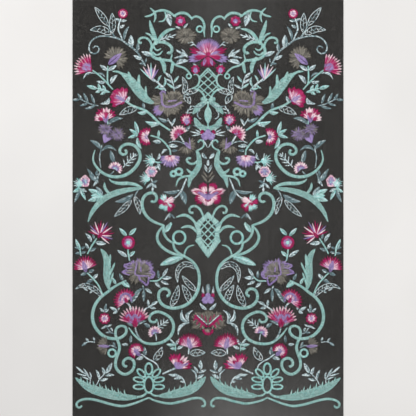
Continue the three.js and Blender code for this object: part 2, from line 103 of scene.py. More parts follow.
# The kinds of rows, with the names of their columns. A turn is in degrees from the right, and a
# level is the height over the net in millimetres.
Ribbon = namedtuple("Ribbon", "node half course")
Ring = namedtuple("Ring", "node x y rx ry turn half")
Grass = namedtuple("Grass", "start end sag blades tall")
Lattice = namedtuple("Lattice", "node outline open pitch half lean mid tall wide")
Crease = namedtuple("Crease", "x0 y0 x1 y1 wide high")
Fan = namedtuple("Fan", "node x y turn spread r teeth deep crown look level", defaults=(0.5,))
Round = namedtuple("Round", "node x y rx ry teeth deep look level", defaults=(0.5,))
Burst = namedtuple("Burst", "node x y turn spread r count broad look")
Leaf = namedtuple("Leaf", "x0 y0 x1 y1 broad look bend", defaults=(0,))
Stem = namedtuple("Stem", "half look course")
Lace = namedtuple("Lace", "broad course")
HeadRing = namedtuple("HeadRing", "look first last sway shares")
PaintedPool = namedtuple("PaintedPool", "x y radius amount")
Lamp = namedtuple("Lamp", "name place size power")


def cell(word):
    """One cell of a table: a number, numbers joined by commas, a word, or - for nothing."""
    if "," in word:
        return tuple(cell(part) for part in word.split(","))
    if word.replace("-", "").isdigit():
        return int(word)
    if word.replace("-", "").replace(".", "").isdigit():
        return float(word)
    return None if word == "-" else word


def table(kind, text):
    """Rows of one kind, one to a line. A line that starts with a space goes on from the line above.
    A course is all the points at the end of a row, and shares are the threads there."""
    rows = []
    plain = len(kind._fields) - 1
    for line in text.strip().replace("\n ", " ").splitlines():
        if line.startswith("#"):
            continue
        cells = [cell(word) for word in line.split()]
        if kind._fields[-1] == "course":
            cells[plain:] = [cells[plain:]]
        elif kind._fields[-1] == "shares":
            cells[plain:] = [dict(zip(cells[plain::2], cells[plain + 1::2]))]
        rows.append(kind(*cells))
    return rows


# Soft folds and creases of the net: where each starts and ends, how wide and how high.
CREASES = table(Crease, """
# x0 y0 x1 y1 wide high
-250 -500 -205 -480 16 0.8
-120 -500 -60 -480 20 0.9
30 -500 95 -480 22 1
150 -500 215 -480 18 0.8
-315 500 -230 481 10 0.6
-300 470 -180 450 7 0.3
-322 490 -250 476 5 0.3
-310 430 -306 -380 9 0.3
20 -190 12 -120 14 0.3
305 300 312 -300 11 0.3
""")

# Round pools of painted light, where more of the floor shows through the holes of the net, or painted
# shade with less of it where the amount is below nought.
PAINTED_LIGHT_POOLS = table(PaintedPool, """
# x y radius amount
20 500 280 0.9
40 -500 320 1.7
300 -500 200 0.9
-300 480 340 -0.6
0 0 400 0.7
""")

# Scroll work of one half: its half width at the start, middle and end, and the course of its middle.
SCROLLS = table(Ribbon, """
# node half course
swag 2,3.4,2 130,469 118,473 106,474 94,470 85,464 77,458
swag 1.8,3.8,1.8 84,460 68,467 54,467 44,460 38,453
swag 2,3.2,1 41,452 32,459 22,458 13,450 8.5,437 9.5,425 8,410
swag 2.2,2.2,0.8 103,470 101,458 107,449 118,447
swag 0.5,3.2,0.5 139,480 129,470 126,458 130,445
swag 0.5,2.8,2.6 152,459 140,461 127,468
acanthus 3,5.6,0.5 125,391 127,408 134,427 140,450
acanthus 2.4,4.8,0.5 124,395 109,416 95,426 78,430
acanthus 4,2.8,0.5 131,402 138,414 150,420
acanthus 3.2,3,2.8 134,386 139,400 149,408 159,408 166,403 164,395 159,397
acanthus 2.4,4,3.8 125,396 112,398 97,394 87,384 87,376 92,371 98,374
acanthus 2.4,2.2,0.5 130,389 128,382 121,378 112,383
acanthus 2.8,2.4,0.5 133,374 125,367 116,369 109,377
acanthus 3.6,4,3 124,398 133,388 137,377 134,366 123,358 105,355 86,353
acanthus 3,5.8,0.5 117,362 106,343 105,323
acanthus 3,2,0.5 90,356 88,361 86,369
acanthus 2.6,4.4,1 84,351 86,337 89,323
acanthus 3,2.6,2 90,353 76,342 60,337 49,329 43,321
great_leaf 0.6,11.6,0.8 212,325 196,315 176,294 152,264 127,249
great_leaf 0.6,3.2,4 229,328 214,326 196,314
great_leaf 6,4,0.5 180,300 186,312 191,327
great_leaf 6,4,0.5 164,286 166,302 165,320
great_leaf 5,3.2,0.5 147,264 149,276 149,292
side_spiral 1,4.3,3.2 271,139 275,125 275,113 267,98 252,84 234,76 213,75 192,82 173,99 163,118 164,133
 173,147 186,153 199,152 208,146 212,137 208,130 200,128 195,134 199,140
twin_leaf 0.6,4.8,2.6 237,70 231,64 214,59 192,59 174,56 160,49
twin_leaf 1.4,7.2,0.6 156,48 188,44 218,37 245,25 262,11 277,-8 288,-34
twin_leaf 0.5,3.8,3.4 248,61 247,48 236,33
heart_scroll 2.4,7,0.5 27,139 22,122 22,102 31,86 42,71 47,48
heart_scroll 2,2.2,2.4 27,138 17,142 10,150 11,159 19,163 24,157
heart_scroll 3,3,3 23,115 34,106 44,107 51,114 47,120 41,118
heart_scroll 4,3.2,0.5 33,84 43,86 51,94
heart_scroll 2.6,3,0.6 38,77 58,75 71,68 77,52
heart_scroll 2.6,2.6,2.6 62,74 67,82
heart_frame 2.6,4.1,3.2 106,-42 130,-33 145,-22 155,-6 158,11 154,26 145,34 132,36 124,29 124,19 131,14
 137,18
heart_frame 2.4,3.8,3 108,-44 119,-58 122,-72 116,-87 102,-100 82,-110 57,-116
heart_frame 2.6,3.2,2.6 106,-40 107,-56 101,-70 91,-80 80,-85
heart_frame 2.8,3.3,3 84,-82 80,-98 69,-109 54,-117
heart_frame 3,4.2,3.4 62,-114 53,-118 38,-128 28,-140 22,-157 21,-179 25,-199 36,-218 52,-232 71,-239
 89,-240 106,-234 117,-221 118,-205 112,-196 101,-194 93,-200 93,-208 100,-212
heart_frame 1.2,3.6,4.4 104,-58 96,-47 87,-36
heart_frame 2.6,2.4,0.6 57,-112 53,-100 45,-92 33,-89
heart_frame 4,6.2,0.6 60,-118 88,-124 114,-136
low_scroll 2,4.3,3.2 196,-174 223,-188 240,-201 256,-213 269,-229 276,-249 277,-262 274,-278 264,-295
 249,-308 232,-313 212,-312 197,-300 197,-287 207,-282
low_scroll 3,3.9,3.4 207,-282 218,-287 222,-298 220,-311 215,-322 212,-335 215,-348 220,-361 222,-373
 220,-384 212,-394 199,-399 184,-392 177,-379 179,-366 192,-360 203,-368 202,-378 194,-381
low_scroll 1.8,8.8,0.5 236,-198 242,-174 242,-150 242,-128 249,-109 258,-97
low_scroll 5,3,0.5 238,-138 235,-123 234,-111
low_scroll 4.5,2.8,0.5 236,-160 230,-147 223,-131
low_scroll 4,2.6,0.5 237,-184 232,-171 227,-155
low_scroll 2,4,0.6 207,-179 200,-184 190,-190
inner_scroll 1.4,4,3 190,-287 179,-302 164,-316 150,-324 132,-326 110,-322 93,-311 84,-295 83,-278
 91,-263 106,-253 122,-249 136,-255 141,-266 136,-273 126,-273 122,-267
palmette 0.5,10.6,3.6 319,-406 302,-420 285,-431 253,-443 224,-450 197,-454 172,-454
palmette 3.6,3,1.8 172,-454 157,-451 146,-442
palmette 0.5,10.6,2.4 5,-403 18,-420 38,-434 71,-444 97,-449 118,-451
palmette 2.4,2.6,1.6 118,-451 131,-449 139,-442
border_scroll 2,3.4,2.6 142,-455 157,-461 172,-467 188,-472 204,-475 222,-473 239,-469 256,-464 272,-460
 290,-458 305,-461 314,-467 315,-475 308,-479 302,-474
border_scroll 2,3.4,2.6 142,-455 130,-461 116,-465 102,-468 88,-469 73,-466 59,-463 46,-459 32,-456
 17,-457 9,-463 7,-470 10,-476 16,-474
""")

# Ribbons that spring from the lattices.
SPRINGING = table(Ribbon, """
# node half course
high_lattice 2,2,2 0,335 21,313
high_lattice 1,2.6,0.6 35,319 28,321 22,315 21,302 28,291 39,287
high_lattice 1.2,2.6,3 37,287 22,283 12,274 6,258
high_lattice 3,5.4,3 2,257 10,262 18,261
high_lattice 4,6.6,0.6 3,257 22,243 37,225
high_lattice 3,2.4,1.4 0,256 0,241
high_lattice 1,8.6,1.2 0,244 0,224 0,203
high_lattice 1.2,1.6,3 0,206 0,190
high_lattice 4,7,0.6 0,190 20,196 33,217
low_lattice 2.6,4,0.5 29,-38 41,-24 56,-17 77,-22
low_lattice 2.6,3.8,0.5 26,-59 38,-47 51,-44 65,-48
low_lattice 2.4,3,3 11,-21 18,-5 29,4 40,3 45,-5 41,-12 35,-11
""")

# Blades of grass on the banks.
GRASS = table(Grass, """
# start end sag blades tall
302,-416 198,-447 2 8 11
18,-413 96,-443 4 7 11
""")

# Rings and loops.
RINGS = table(Ring, """
# node x y rx ry turn half
swag 20 429 7.2 7.2 0 2.4
acanthus 46 316 5.6 5.6 0 2.2
heart_scroll 70 87 8 7.4 0 3.6
heart_scroll 83 82 6.4 6.2 0 3.4
heart_frame 69 -71 14.5 15 0 3.3
low_scroll 230 -348 9 9 0 3
palmette 142 -424 19 11 90 2.9
palmette 142 -386 13.4 8.4 90 2.9
palmette 160 -396 12 6 45 2.7
palmette 124 -396 12 6 135 2.7
palmette 166 -412 12.5 5.6 12 2.6
palmette 118 -412 12.5 5.6 168 2.6
palmette 166 -429 12.5 5.6 0 2.6
palmette 118 -429 12.5 5.6 180 2.6
""")

# Lattices: the right half of the outline and of the opening in its frame, and the leaning bars.
LATTICES = [
    Lattice("high_lattice",
            outline=[(0, 334), (21, 313), (21, 302), (28, 291), (37, 287), (22, 283), (12, 274),
                     (6, 263), (0, 262)],
            open=None, pitch=13.5, half=1.3, lean=42, mid=300, tall=36, wide=37),
    Lattice("low_lattice",
            outline=[(0, -8), (16, -22), (34, -38), (26, -59), (31, -80), (15, -102), (0, -122)],
            open=[(0, -26), (10, -35), (18, -47), (15, -60), (16, -74), (8, -87), (0, -98)],
            pitch=13, half=1.6, lean=46, mid=-62, tall=46, wide=28),
]

# Threads and how each shows: deep, middle and light colour, as the light catches its stitches.
THREADS = {
    "teal": ("#7aaaa4", "#a0c9c3", "#c8e4df"),
    "aqua": ("#74c0be", "#9edad6", "#ccf1ec"),
    "ice": ("#a9c4ca", "#d4e6e8", "#fafdfd"),
    "slate": ("#4a5f64", "#6c868c", "#93abae"),
    "magenta": ("#740038", "#a80358", "#cc1f76"),
    "pink": ("#a8447a", "#cc78a2", "#e6b0c8"),
    "blush": ("#d8aebd", "#efd6dc", "#fff6f7"),
    "lavender": ("#715d94", "#9a85b8", "#bdaad6"),
    "taupe": ("#55514a", "#858075", "#b5b0a3"),
    "umber": ("#1c1a18", "#35322d", "#58544c"),
}

# Shares of threads in the two halves of a leaf.
LEAF_LOOKS = {
    "white": ({"ice": 1.0}, {"ice": 0.8, "slate": 0.2}),
    "umber": ({"umber": 1.0}, {"umber": 1.0}),
    "ice": ({"ice": 0.85, "slate": 0.15}, {"ice": 0.45, "slate": 0.55}),
    "slate": ({"ice": 0.25, "slate": 0.75}, {"slate": 1.0}),
    "teal": ({"aqua": 0.6, "ice": 0.4}, {"teal": 0.8, "slate": 0.2}),
    "aqua": ({"aqua": 0.8, "ice": 0.2}, {"aqua": 0.5, "teal": 0.5}),
    "lavender": ({"lavender": 1.0}, {"lavender": 1.0}),
    "magenta": ({"magenta": 1.0}, {"magenta": 1.0}),
    "taupe": ({"taupe": 1.0}, {"taupe": 0.8, "slate": 0.2}),
    "blush": ({"blush": 1.0}, {"blush": 0.6, "pink": 0.4}),
}

# Threads of stems and of bands.
STEM_LOOKS = {
    "ice": {"ice": 0.75, "slate": 0.25},
    "slate": {"slate": 0.7, "ice": 0.3},
    "teal": {"teal": 0.8, "aqua": 0.2},
    "lavender": {"lavender": 1.0},
    "magenta": {"magenta": 1.0},
}

# Flower heads in rings of long and short stitches: from, to, how far the inner edge sways outwards
# with each tooth, and the shares of threads.
HEAD_RINGS = table(HeadRing, """
# look first last sway shares
rimmed 0 0.36 0 lavender 0.8 blush 0.2
rimmed 0.3 0.72 0 blush 0.7 pink 0.2 lavender 0.1
rimmed 0.6 1 0.1 magenta 1
berry 0 0.5 0 lavender 0.9 blush 0.1
berry 0.42 1 0.08 magenta 0.95 pink 0.05
eyed 0 0.34 0 aqua 0.9 ice 0.1
eyed 0.3 0.68 0 lavender 0.45 pink 0.4 blush 0.15
eyed 0.58 1 0 magenta 1
fringed 0.05 0.4 0 lavender 0.5 blush 0.5
fringed 0.28 0.8 0 blush 0.55 pink 0.3 lavender 0.15
fringed 0.54 1 0.16 magenta 0.97 pink 0.03
tipped 0.05 0.3 0 magenta 0.9 lavender 0.1
tipped 0.2 0.5 0 lavender 0.75 magenta 0.25
tipped 0.42 1 0.08 magenta 0.82 pink 0.12 blush 0.06
tipped 0.88 1 -0.24 blush 0.95 pink 0.05
daisy 0 0.3 0 lavender 0.6 magenta 0.4
daisy 0.22 0.8 0 magenta 0.7 pink 0.3
daisy 0.62 1 -0.16 blush 0.85 pink 0.15
pale_daisy 0 0.36 0 lavender 0.5 aqua 0.5
pale_daisy 0.3 0.64 0 lavender 0.85 pink 0.15
pale_daisy 0.56 1 -0.12 blush 0.85 pink 0.15
posy 0 0.42 0 lavender 0.6 aqua 0.4
posy 0.36 0.7 0 lavender 0.7 blush 0.3
posy 0.64 1 -0.06 pink 0.25 blush 0.75
down_cup 0 0.2 0 magenta 1
down_cup 0.16 0.6 0 blush 0.75 pink 0.25
down_cup 0.48 1 0.1 lavender 0.9 blush 0.1
dusky 0 0.36 0 umber 0.75 taupe 0.25
dusky 0.22 1 0 taupe 0.8 umber 0.2
dusky 0.36 0.94 0.6 umber 1
dusky_deep 0 0.88 0 umber 0.5 taupe 0.5
dusky_deep 0.78 1 0 taupe 1
dusky_edge 0 0.85 0 taupe 0.6 umber 0.25 lavender 0.15
dusky_edge 0.74 1 0 lavender 0.9 taupe 0.1
dusky_plain 0 0.5 0 taupe 0.55 umber 0.45
dusky_plain 0.24 1 0 taupe 0.82 umber 0.18
dusky_plain 0.4 0.92 0.6 umber 1
dusky_lilac 0 0.7 0 taupe 0.8 umber 0.2
dusky_lilac 0.5 1 0.1 lavender 0.94 pink 0.06
thistle 0 0.6 0 lavender 0.7 umber 0.3
thistle 0.36 1 0 lavender 0.6 taupe 0.4
thistle 0.4 0.92 0.6 umber 1
lilac 0 0.3 0 magenta 1
lilac 0.22 0.56 0 magenta 0.35 pink 0.25 blush 0.4
lilac 0.42 0.84 0 pink 0.55 magenta 0.3 lavender 0.15
lilac 0.7 1 0.1 lavender 1
lilac_edge 0 0.76 0 magenta 0.95 pink 0.05
lilac_edge 0.66 1 0 lavender 1
lilac_heart 0 0.7 0 lavender 0.85 blush 0.15
lilac_heart 0.58 1 0 magenta 1
pink_lobe 0 0.3 0 magenta 0.5 lavender 0.5
pink_lobe 0.22 0.76 0 pink 0.2 blush 0.8
pink_lobe 0.64 1 0.1 magenta 1
blush_lobe 0 0.76 0 magenta 0.9 pink 0.1
blush_lobe 0.62 1 -0.12 blush 0.92 pink 0.08
dusky_ring 0 0.64 0 taupe 0.8 umber 0.2
dusky_ring 0.54 1 0.08 magenta 1
dark 0 1 0 umber 0.9 lavender 0.1
aqua_lobe 0 0.44 0 magenta 0.4 blush 0.6
aqua_lobe 0.34 1 0 aqua 0.75 ice 0.25
magenta_lobe 0 0.46 0 aqua 0.5 blush 0.5
magenta_lobe 0.36 1 0.1 magenta 1
plain_lilac 0 1 0 lavender 1
plain_magenta 0 1 0 magenta 1
plain_aqua 0 1 0 aqua 0.7 ice 0.3
plain_blush 0 1 0 blush 0.85 pink 0.15
""")
HEAD_LOOKS = {}
for head_ring in HEAD_RINGS:
    HEAD_LOOKS.setdefault(head_ring.look, []).append(head_ring)

# Order of the threads of a head of single spikes.
SPIKES = {
    "bright": ["magenta", "blush", "lavender", "magenta", "blush", "magenta"],
    "bud": ["aqua", "teal", "ice"],
}

# Heads of one half that open from a foot, each in its own node or with none.
FANS = table(Fan, """
# node x y turn spread r teeth deep crown look level
taupe_fan 222 359 128 262 32 15 0.22 0.08 dusky_plain
side_carnation 279 330 34 106 46 11 0.28 0.1 tipped
side_carnation 279 330 30 60 29 3 0.1 0.2 plain_lilac 0.9
leaf_carnation 201 257 38 150 36 7 0.14 0.12 fringed
small_pink 245 212 12 46 31 3 0.24 0.2 blush_lobe
small_pink 245 212 138 50 31 3 0.24 0.2 pink_lobe
small_pink 245 212 94 50 32 3 0.24 0.2 blush_lobe 0.6
small_pink 245 212 52 48 33 3 0.24 0.2 pink_lobe 0.7
side_pink 293 -147 77 164 34 13 0.26 0.1 fringed
scroll_pink 196 -224 52 184 33 13 0.26 0.1 fringed
great_carnation 175 -279 83 140 46 13 0.28 0.1 tipped
low_pink 45 -335 97 156 37 15 0.26 0.1 fringed
trumpet 75 -383 72 50 37 4 0.2 0.2 pink_lobe
trumpet 77 -383 166 42 42 3 0.2 0.25 pink_lobe 0.6
trumpet 77 -383 137 42 40 3 0.22 0.2 blush_lobe 0.7
trumpet 77 -383 107 42 39 3 0.22 0.2 plain_magenta
trumpet 77 -386 124 112 22 3 0.14 0.2 plain_lilac 0.9
- 30 323 90 96 11 3 0.14 0.1 plain_lilac 0.8
- 51 199 92 84 14 3 0.14 0.1 plain_lilac 0.8
- 91 126 -90 174 31 11 0.18 0.2 down_cup
- 53 152 -131 200 27 13 0.22 0.12 dusky
- 240 -331 5 160 29 11 0.22 0.16 dusky
- 249 155 113 72 27 3 0.1 0.2 plain_lilac 0.4
- 146 171 0 236 24 11 0.24 0.08 rimmed
- 68 175 54 200 26 11 0.28 0.1 daisy
- 223 93 116 214 20 11 0.26 0.08 pale_daisy
- 127 -300 68 224 19 11 0.26 0.1 pale_daisy
- 172 -343 50 262 21 13 0.22 0.06 rimmed
- 136 309 82 84 31 5 0.34 0.2 plain_lilac
""")

# Round heads of one half.
ROUNDS = table(Round, """
# node x y rx ry teeth deep look level
- 214 266 22 21 6 0.14 berry 0.3
- 30 332 12.5 13 8 0.3 berry
- 52 212 16.5 16.5 11 0.34 rimmed
cornflower 53 413 28 22 17 0.2 dusky
- 247 189 20 16 15 0.46 thistle
- 217 177 21 18 17 0.46 thistle
- 238 174 8 8 7 0.1 dark
- 66 448 14 14 7 0.2 berry
- 204 466 12.5 12.5 12 0.1 rimmed
- 136 87 15.5 14.5 6 0.18 posy
- 295 64 13 16 5 0.18 posy
- 191 -83 17 17 26 0.05 eyed
- 248 -265 15 15 9 0.22 rimmed
- 134 113 8 8 7 0.06 plain_aqua
- 146 70 8 8 7 0.06 plain_aqua
- 306 58 8 8 7 0.06 plain_aqua
""")

# Petals that make up the larger heads of one half, from the hindmost to the foremost.
PETALS = table(Fan, """
# node x y turn spread r teeth deep crown look level
high_peony 86 252 90 360 31 17 0.2 0 dusky_plain 0.35
high_peony 108 250 0 360 26 15 0.2 0 dusky_plain 0.35
high_peony 108 257 16 54 30 1 0.1 0.5 dusky_plain 0.55
high_peony 104 262 72 60 22 3 0.12 0.3 dusky_edge 0.6
high_peony 82 250 100 110 33 9 0.12 0.2 dusky_deep 0.6
high_peony 92 250 -122 40 34 3 0.2 0.3 dusky_plain 0.55
high_peony 95 250 -86 36 35 1 0.2 0.5 dusky_plain 0.6
high_peony 102 246 -34 66 36 5 0.16 0.3 dusky_lilac 0.7
rose 165 -152 90 360 32 17 0.2 0 dusky_plain 0.35
rose 165 -153 150 84 38 7 0.16 0.25 dusky_edge
rose 165 -153 88 50 33 4 0.14 0.3 dusky_edge
rose 165 -153 52 38 35 3 0.14 0.3 dusky_edge
rose 170 -149 20 36 34 1 0.1 0.55 dusky_edge 0.6
rose 172 -155 0 34 34 1 0.1 0.55 dusky_edge 0.7
rose 165 -153 -60 60 36 5 0.2 0.3 dusky_plain
rose 150 -157 190 66 21 3 0.1 0.2 dusky_edge
rose 157 -160 96 72 27 3 0.1 0.3 dusky_deep 0.6
rose 165 -153 -155 34 36 3 0.14 0.35 dusky_plain
tulip_head 99 12 90 360 16 13 0.2 0 magenta_lobe 0.3
tulip_head 99 12 60 56 26 4 0.26 0.2 aqua_lobe
tulip_head 99 12 12 46 25 4 0.26 0.2 magenta_lobe 0.6
tulip_head 99 12 -36 44 25 4 0.26 0.2 aqua_lobe
tulip_head 99 12 -78 40 23 3 0.26 0.2 aqua_lobe 0.6
tulip_head 99 12 -114 40 26 3 0.26 0.2 magenta_lobe
tulip_head 99 12 -152 44 25 4 0.26 0.2 magenta_lobe 0.6
tulip_head 95 10 -140 50 14 3 0.26 0.2 plain_aqua 0.8
tulip_head 104 14 160 50 28 4 0.2 0.3 plain_blush 0.9
tulip_head 102 10 0 120 9 5 0.2 0.2 plain_magenta 0.9
""")

# Petals of the heads on the middle line. Those with a turn other than 90 or -90 are mirrored.
MIDDLE_PETALS = table(Fan, """
# node x y turn spread r teeth deep crown look level
top_peony 0 364 22 28 52 3 0.26 0.35 lilac_heart
top_peony 0 364 90 104 44 15 0.16 0.06 lilac 0.6
top_peony 0 366 -12 38 52 5 0.17 0.4 lilac_edge 0.7
top_peony 0 364 -58 38 34 3 0.3 0.3 plain_magenta 0.6
top_peony 0 364 -80 22 32 2 0.36 0.3 plain_magenta 0.7
top_peony 0 362 90 90 14 3 0.1 0.2 plain_magenta 0.9
small_middle 7 172 0 360 11 7 0.1 0 plain_lilac
small_middle 0 182 90 360 8 5 0.1 0 plain_lilac
pansy 2 34 58 62 31 5 0.14 0.25 pink_lobe
pansy 2 34 12 40 43 3 0.1 0.5 plain_blush 0.65
pansy 2 30 -26 64 34 5 0.16 0.25 pink_lobe 0.6
pansy 0 34 -90 72 31 7 0.14 0.2 blush_lobe 0.7
pansy 0 18 90 108 19 5 0.2 -0.3 plain_lilac 1.2
thistle_bud 6 -221 0 360 10 7 0.1 0 plain_lilac
thistle_bud 0 -210 90 360 7.5 5 0.1 0 plain_lilac
low_peony 18 -271 0 360 24 13 0.22 0 dusky_plain 0.35
low_peony 0 -270 90 76 27 7 0.16 0.2 dusky_plain
low_peony 4 -272 30 44 42 3 0.16 0.4 dusky_plain
low_peony 4 -270 -22 44 44 4 0.18 0.4 dusky_plain 0.55
low_peony 0 -290 -90 170 17 7 0.16 0.1 dusky_ring 0.6
""")

# Heads of single spikes, and spiky buds.
BURSTS = table(Burst, """
# node x y turn spread r count broad look
spiky_head 259 -65 120 204 36 17 4.4 bright
- 134 113 0 170 22 9 3.2 bud
- 146 70 20 170 20 9 3.2 bud
- 306 58 20 150 18 9 3.2 bud
""")

# Leaf-shaped hearts and spikes that lie on the heads.
HEARTS = table(Leaf, """
# x0 y0 x1 y1 broad look bend
239 344 207 371 17 lavender
277 328 296 341 12 magenta
199 255 222 270 9 lavender
96 6 103 14 6 magenta
245 204 238 224 6 lavender
245 204 254 224 6 lavender
292 -154 300 -126 13 lavender
41 -339 49 -309 12 lavender
75 -378 45 -370 8 lavender 0.1
56 158 40 141 10 lavender
42 143 45 169 4 lavender
236 -332 264 -330 8 lavender
193 -228 200 -214 10 magenta
175 -287 175 -263 14 magenta
162 -354 176 -343 11 lavender
136 308 163 334 4.4 aqua
136 308 156 339 4.4 blush
136 310 145 345 4.4 blush
136 310 137 348 4.4 aqua
135 308 125 344 4.4 blush
134 308 119 333 4.4 lavender
6 359 11 341 9 lavender
7 33 35 41 12 magenta
0 36 0 52 3 umber
60 -118 116 -138 14 teal
11 187 18 177 9 magenta
9 -204 15 -214 9 magenta
264 -72 252 -57 9 magenta
27 -259 35 -271 6 magenta
20 -266 28 -281 6 magenta
12 -273 19 -288 6 magenta
8 -258 3 -274 4 magenta
16 -255 12 -265 3.6 magenta
0 -204 0 -182 2 ice
9 -205 13 -188 2 ice
103 249 104 271 4.2 umber
173 -155 168 -135 3.6 umber 0.06
94 274 93 259 2.4 umber
89 274 89 259 2.4 umber
84 274 84 259 2.4 umber
79 274 79 259 2.4 umber
75 274 74 259 2.4 umber
97 250 78 251 1.8 umber
151 -140 151 -156 2.4 umber
146 -142 147 -156 2.4 umber
169 -158 145 -158 1.8 umber
""")

# Bands of satin on the heads.
BANDS = table(Stem, """
# half look course
3.2 lavender 111,275 111,262 110,251 105,244 86,243 70,250 62,254
2.2 lavender 96,256 85,257 75,258
2.4 lavender 170,-131 173,-147 175,-158 168,-162 142,-163
1.5 lavender 181,-132 193,-134 202,-138 194,-144 182,-143
1.5 lavender 194,-147 201,-150 205,-154 197,-158 188,-161
2.2 lavender 149,-131 139,-139 136,-144 136,-150 129,-155 129,-162 134,-168 140,-168
2.6 lavender 166,-164 163,-172 154,-179 147,-185 143,-176 142,-165
1.8 lavender 161,-141 161,-154
3 lavender 211,-224 208,-211 196,-205 186,-212 184,-224
3 lavender 197,-262 190,-255 183,-264 175,-256 167,-264 160,-257
4 lavender 24,38 13,32 2,24
3.2 magenta 32,-257 16,-273 2,-285
1.2 ice 26,-257 13,-269 2,-279
""")

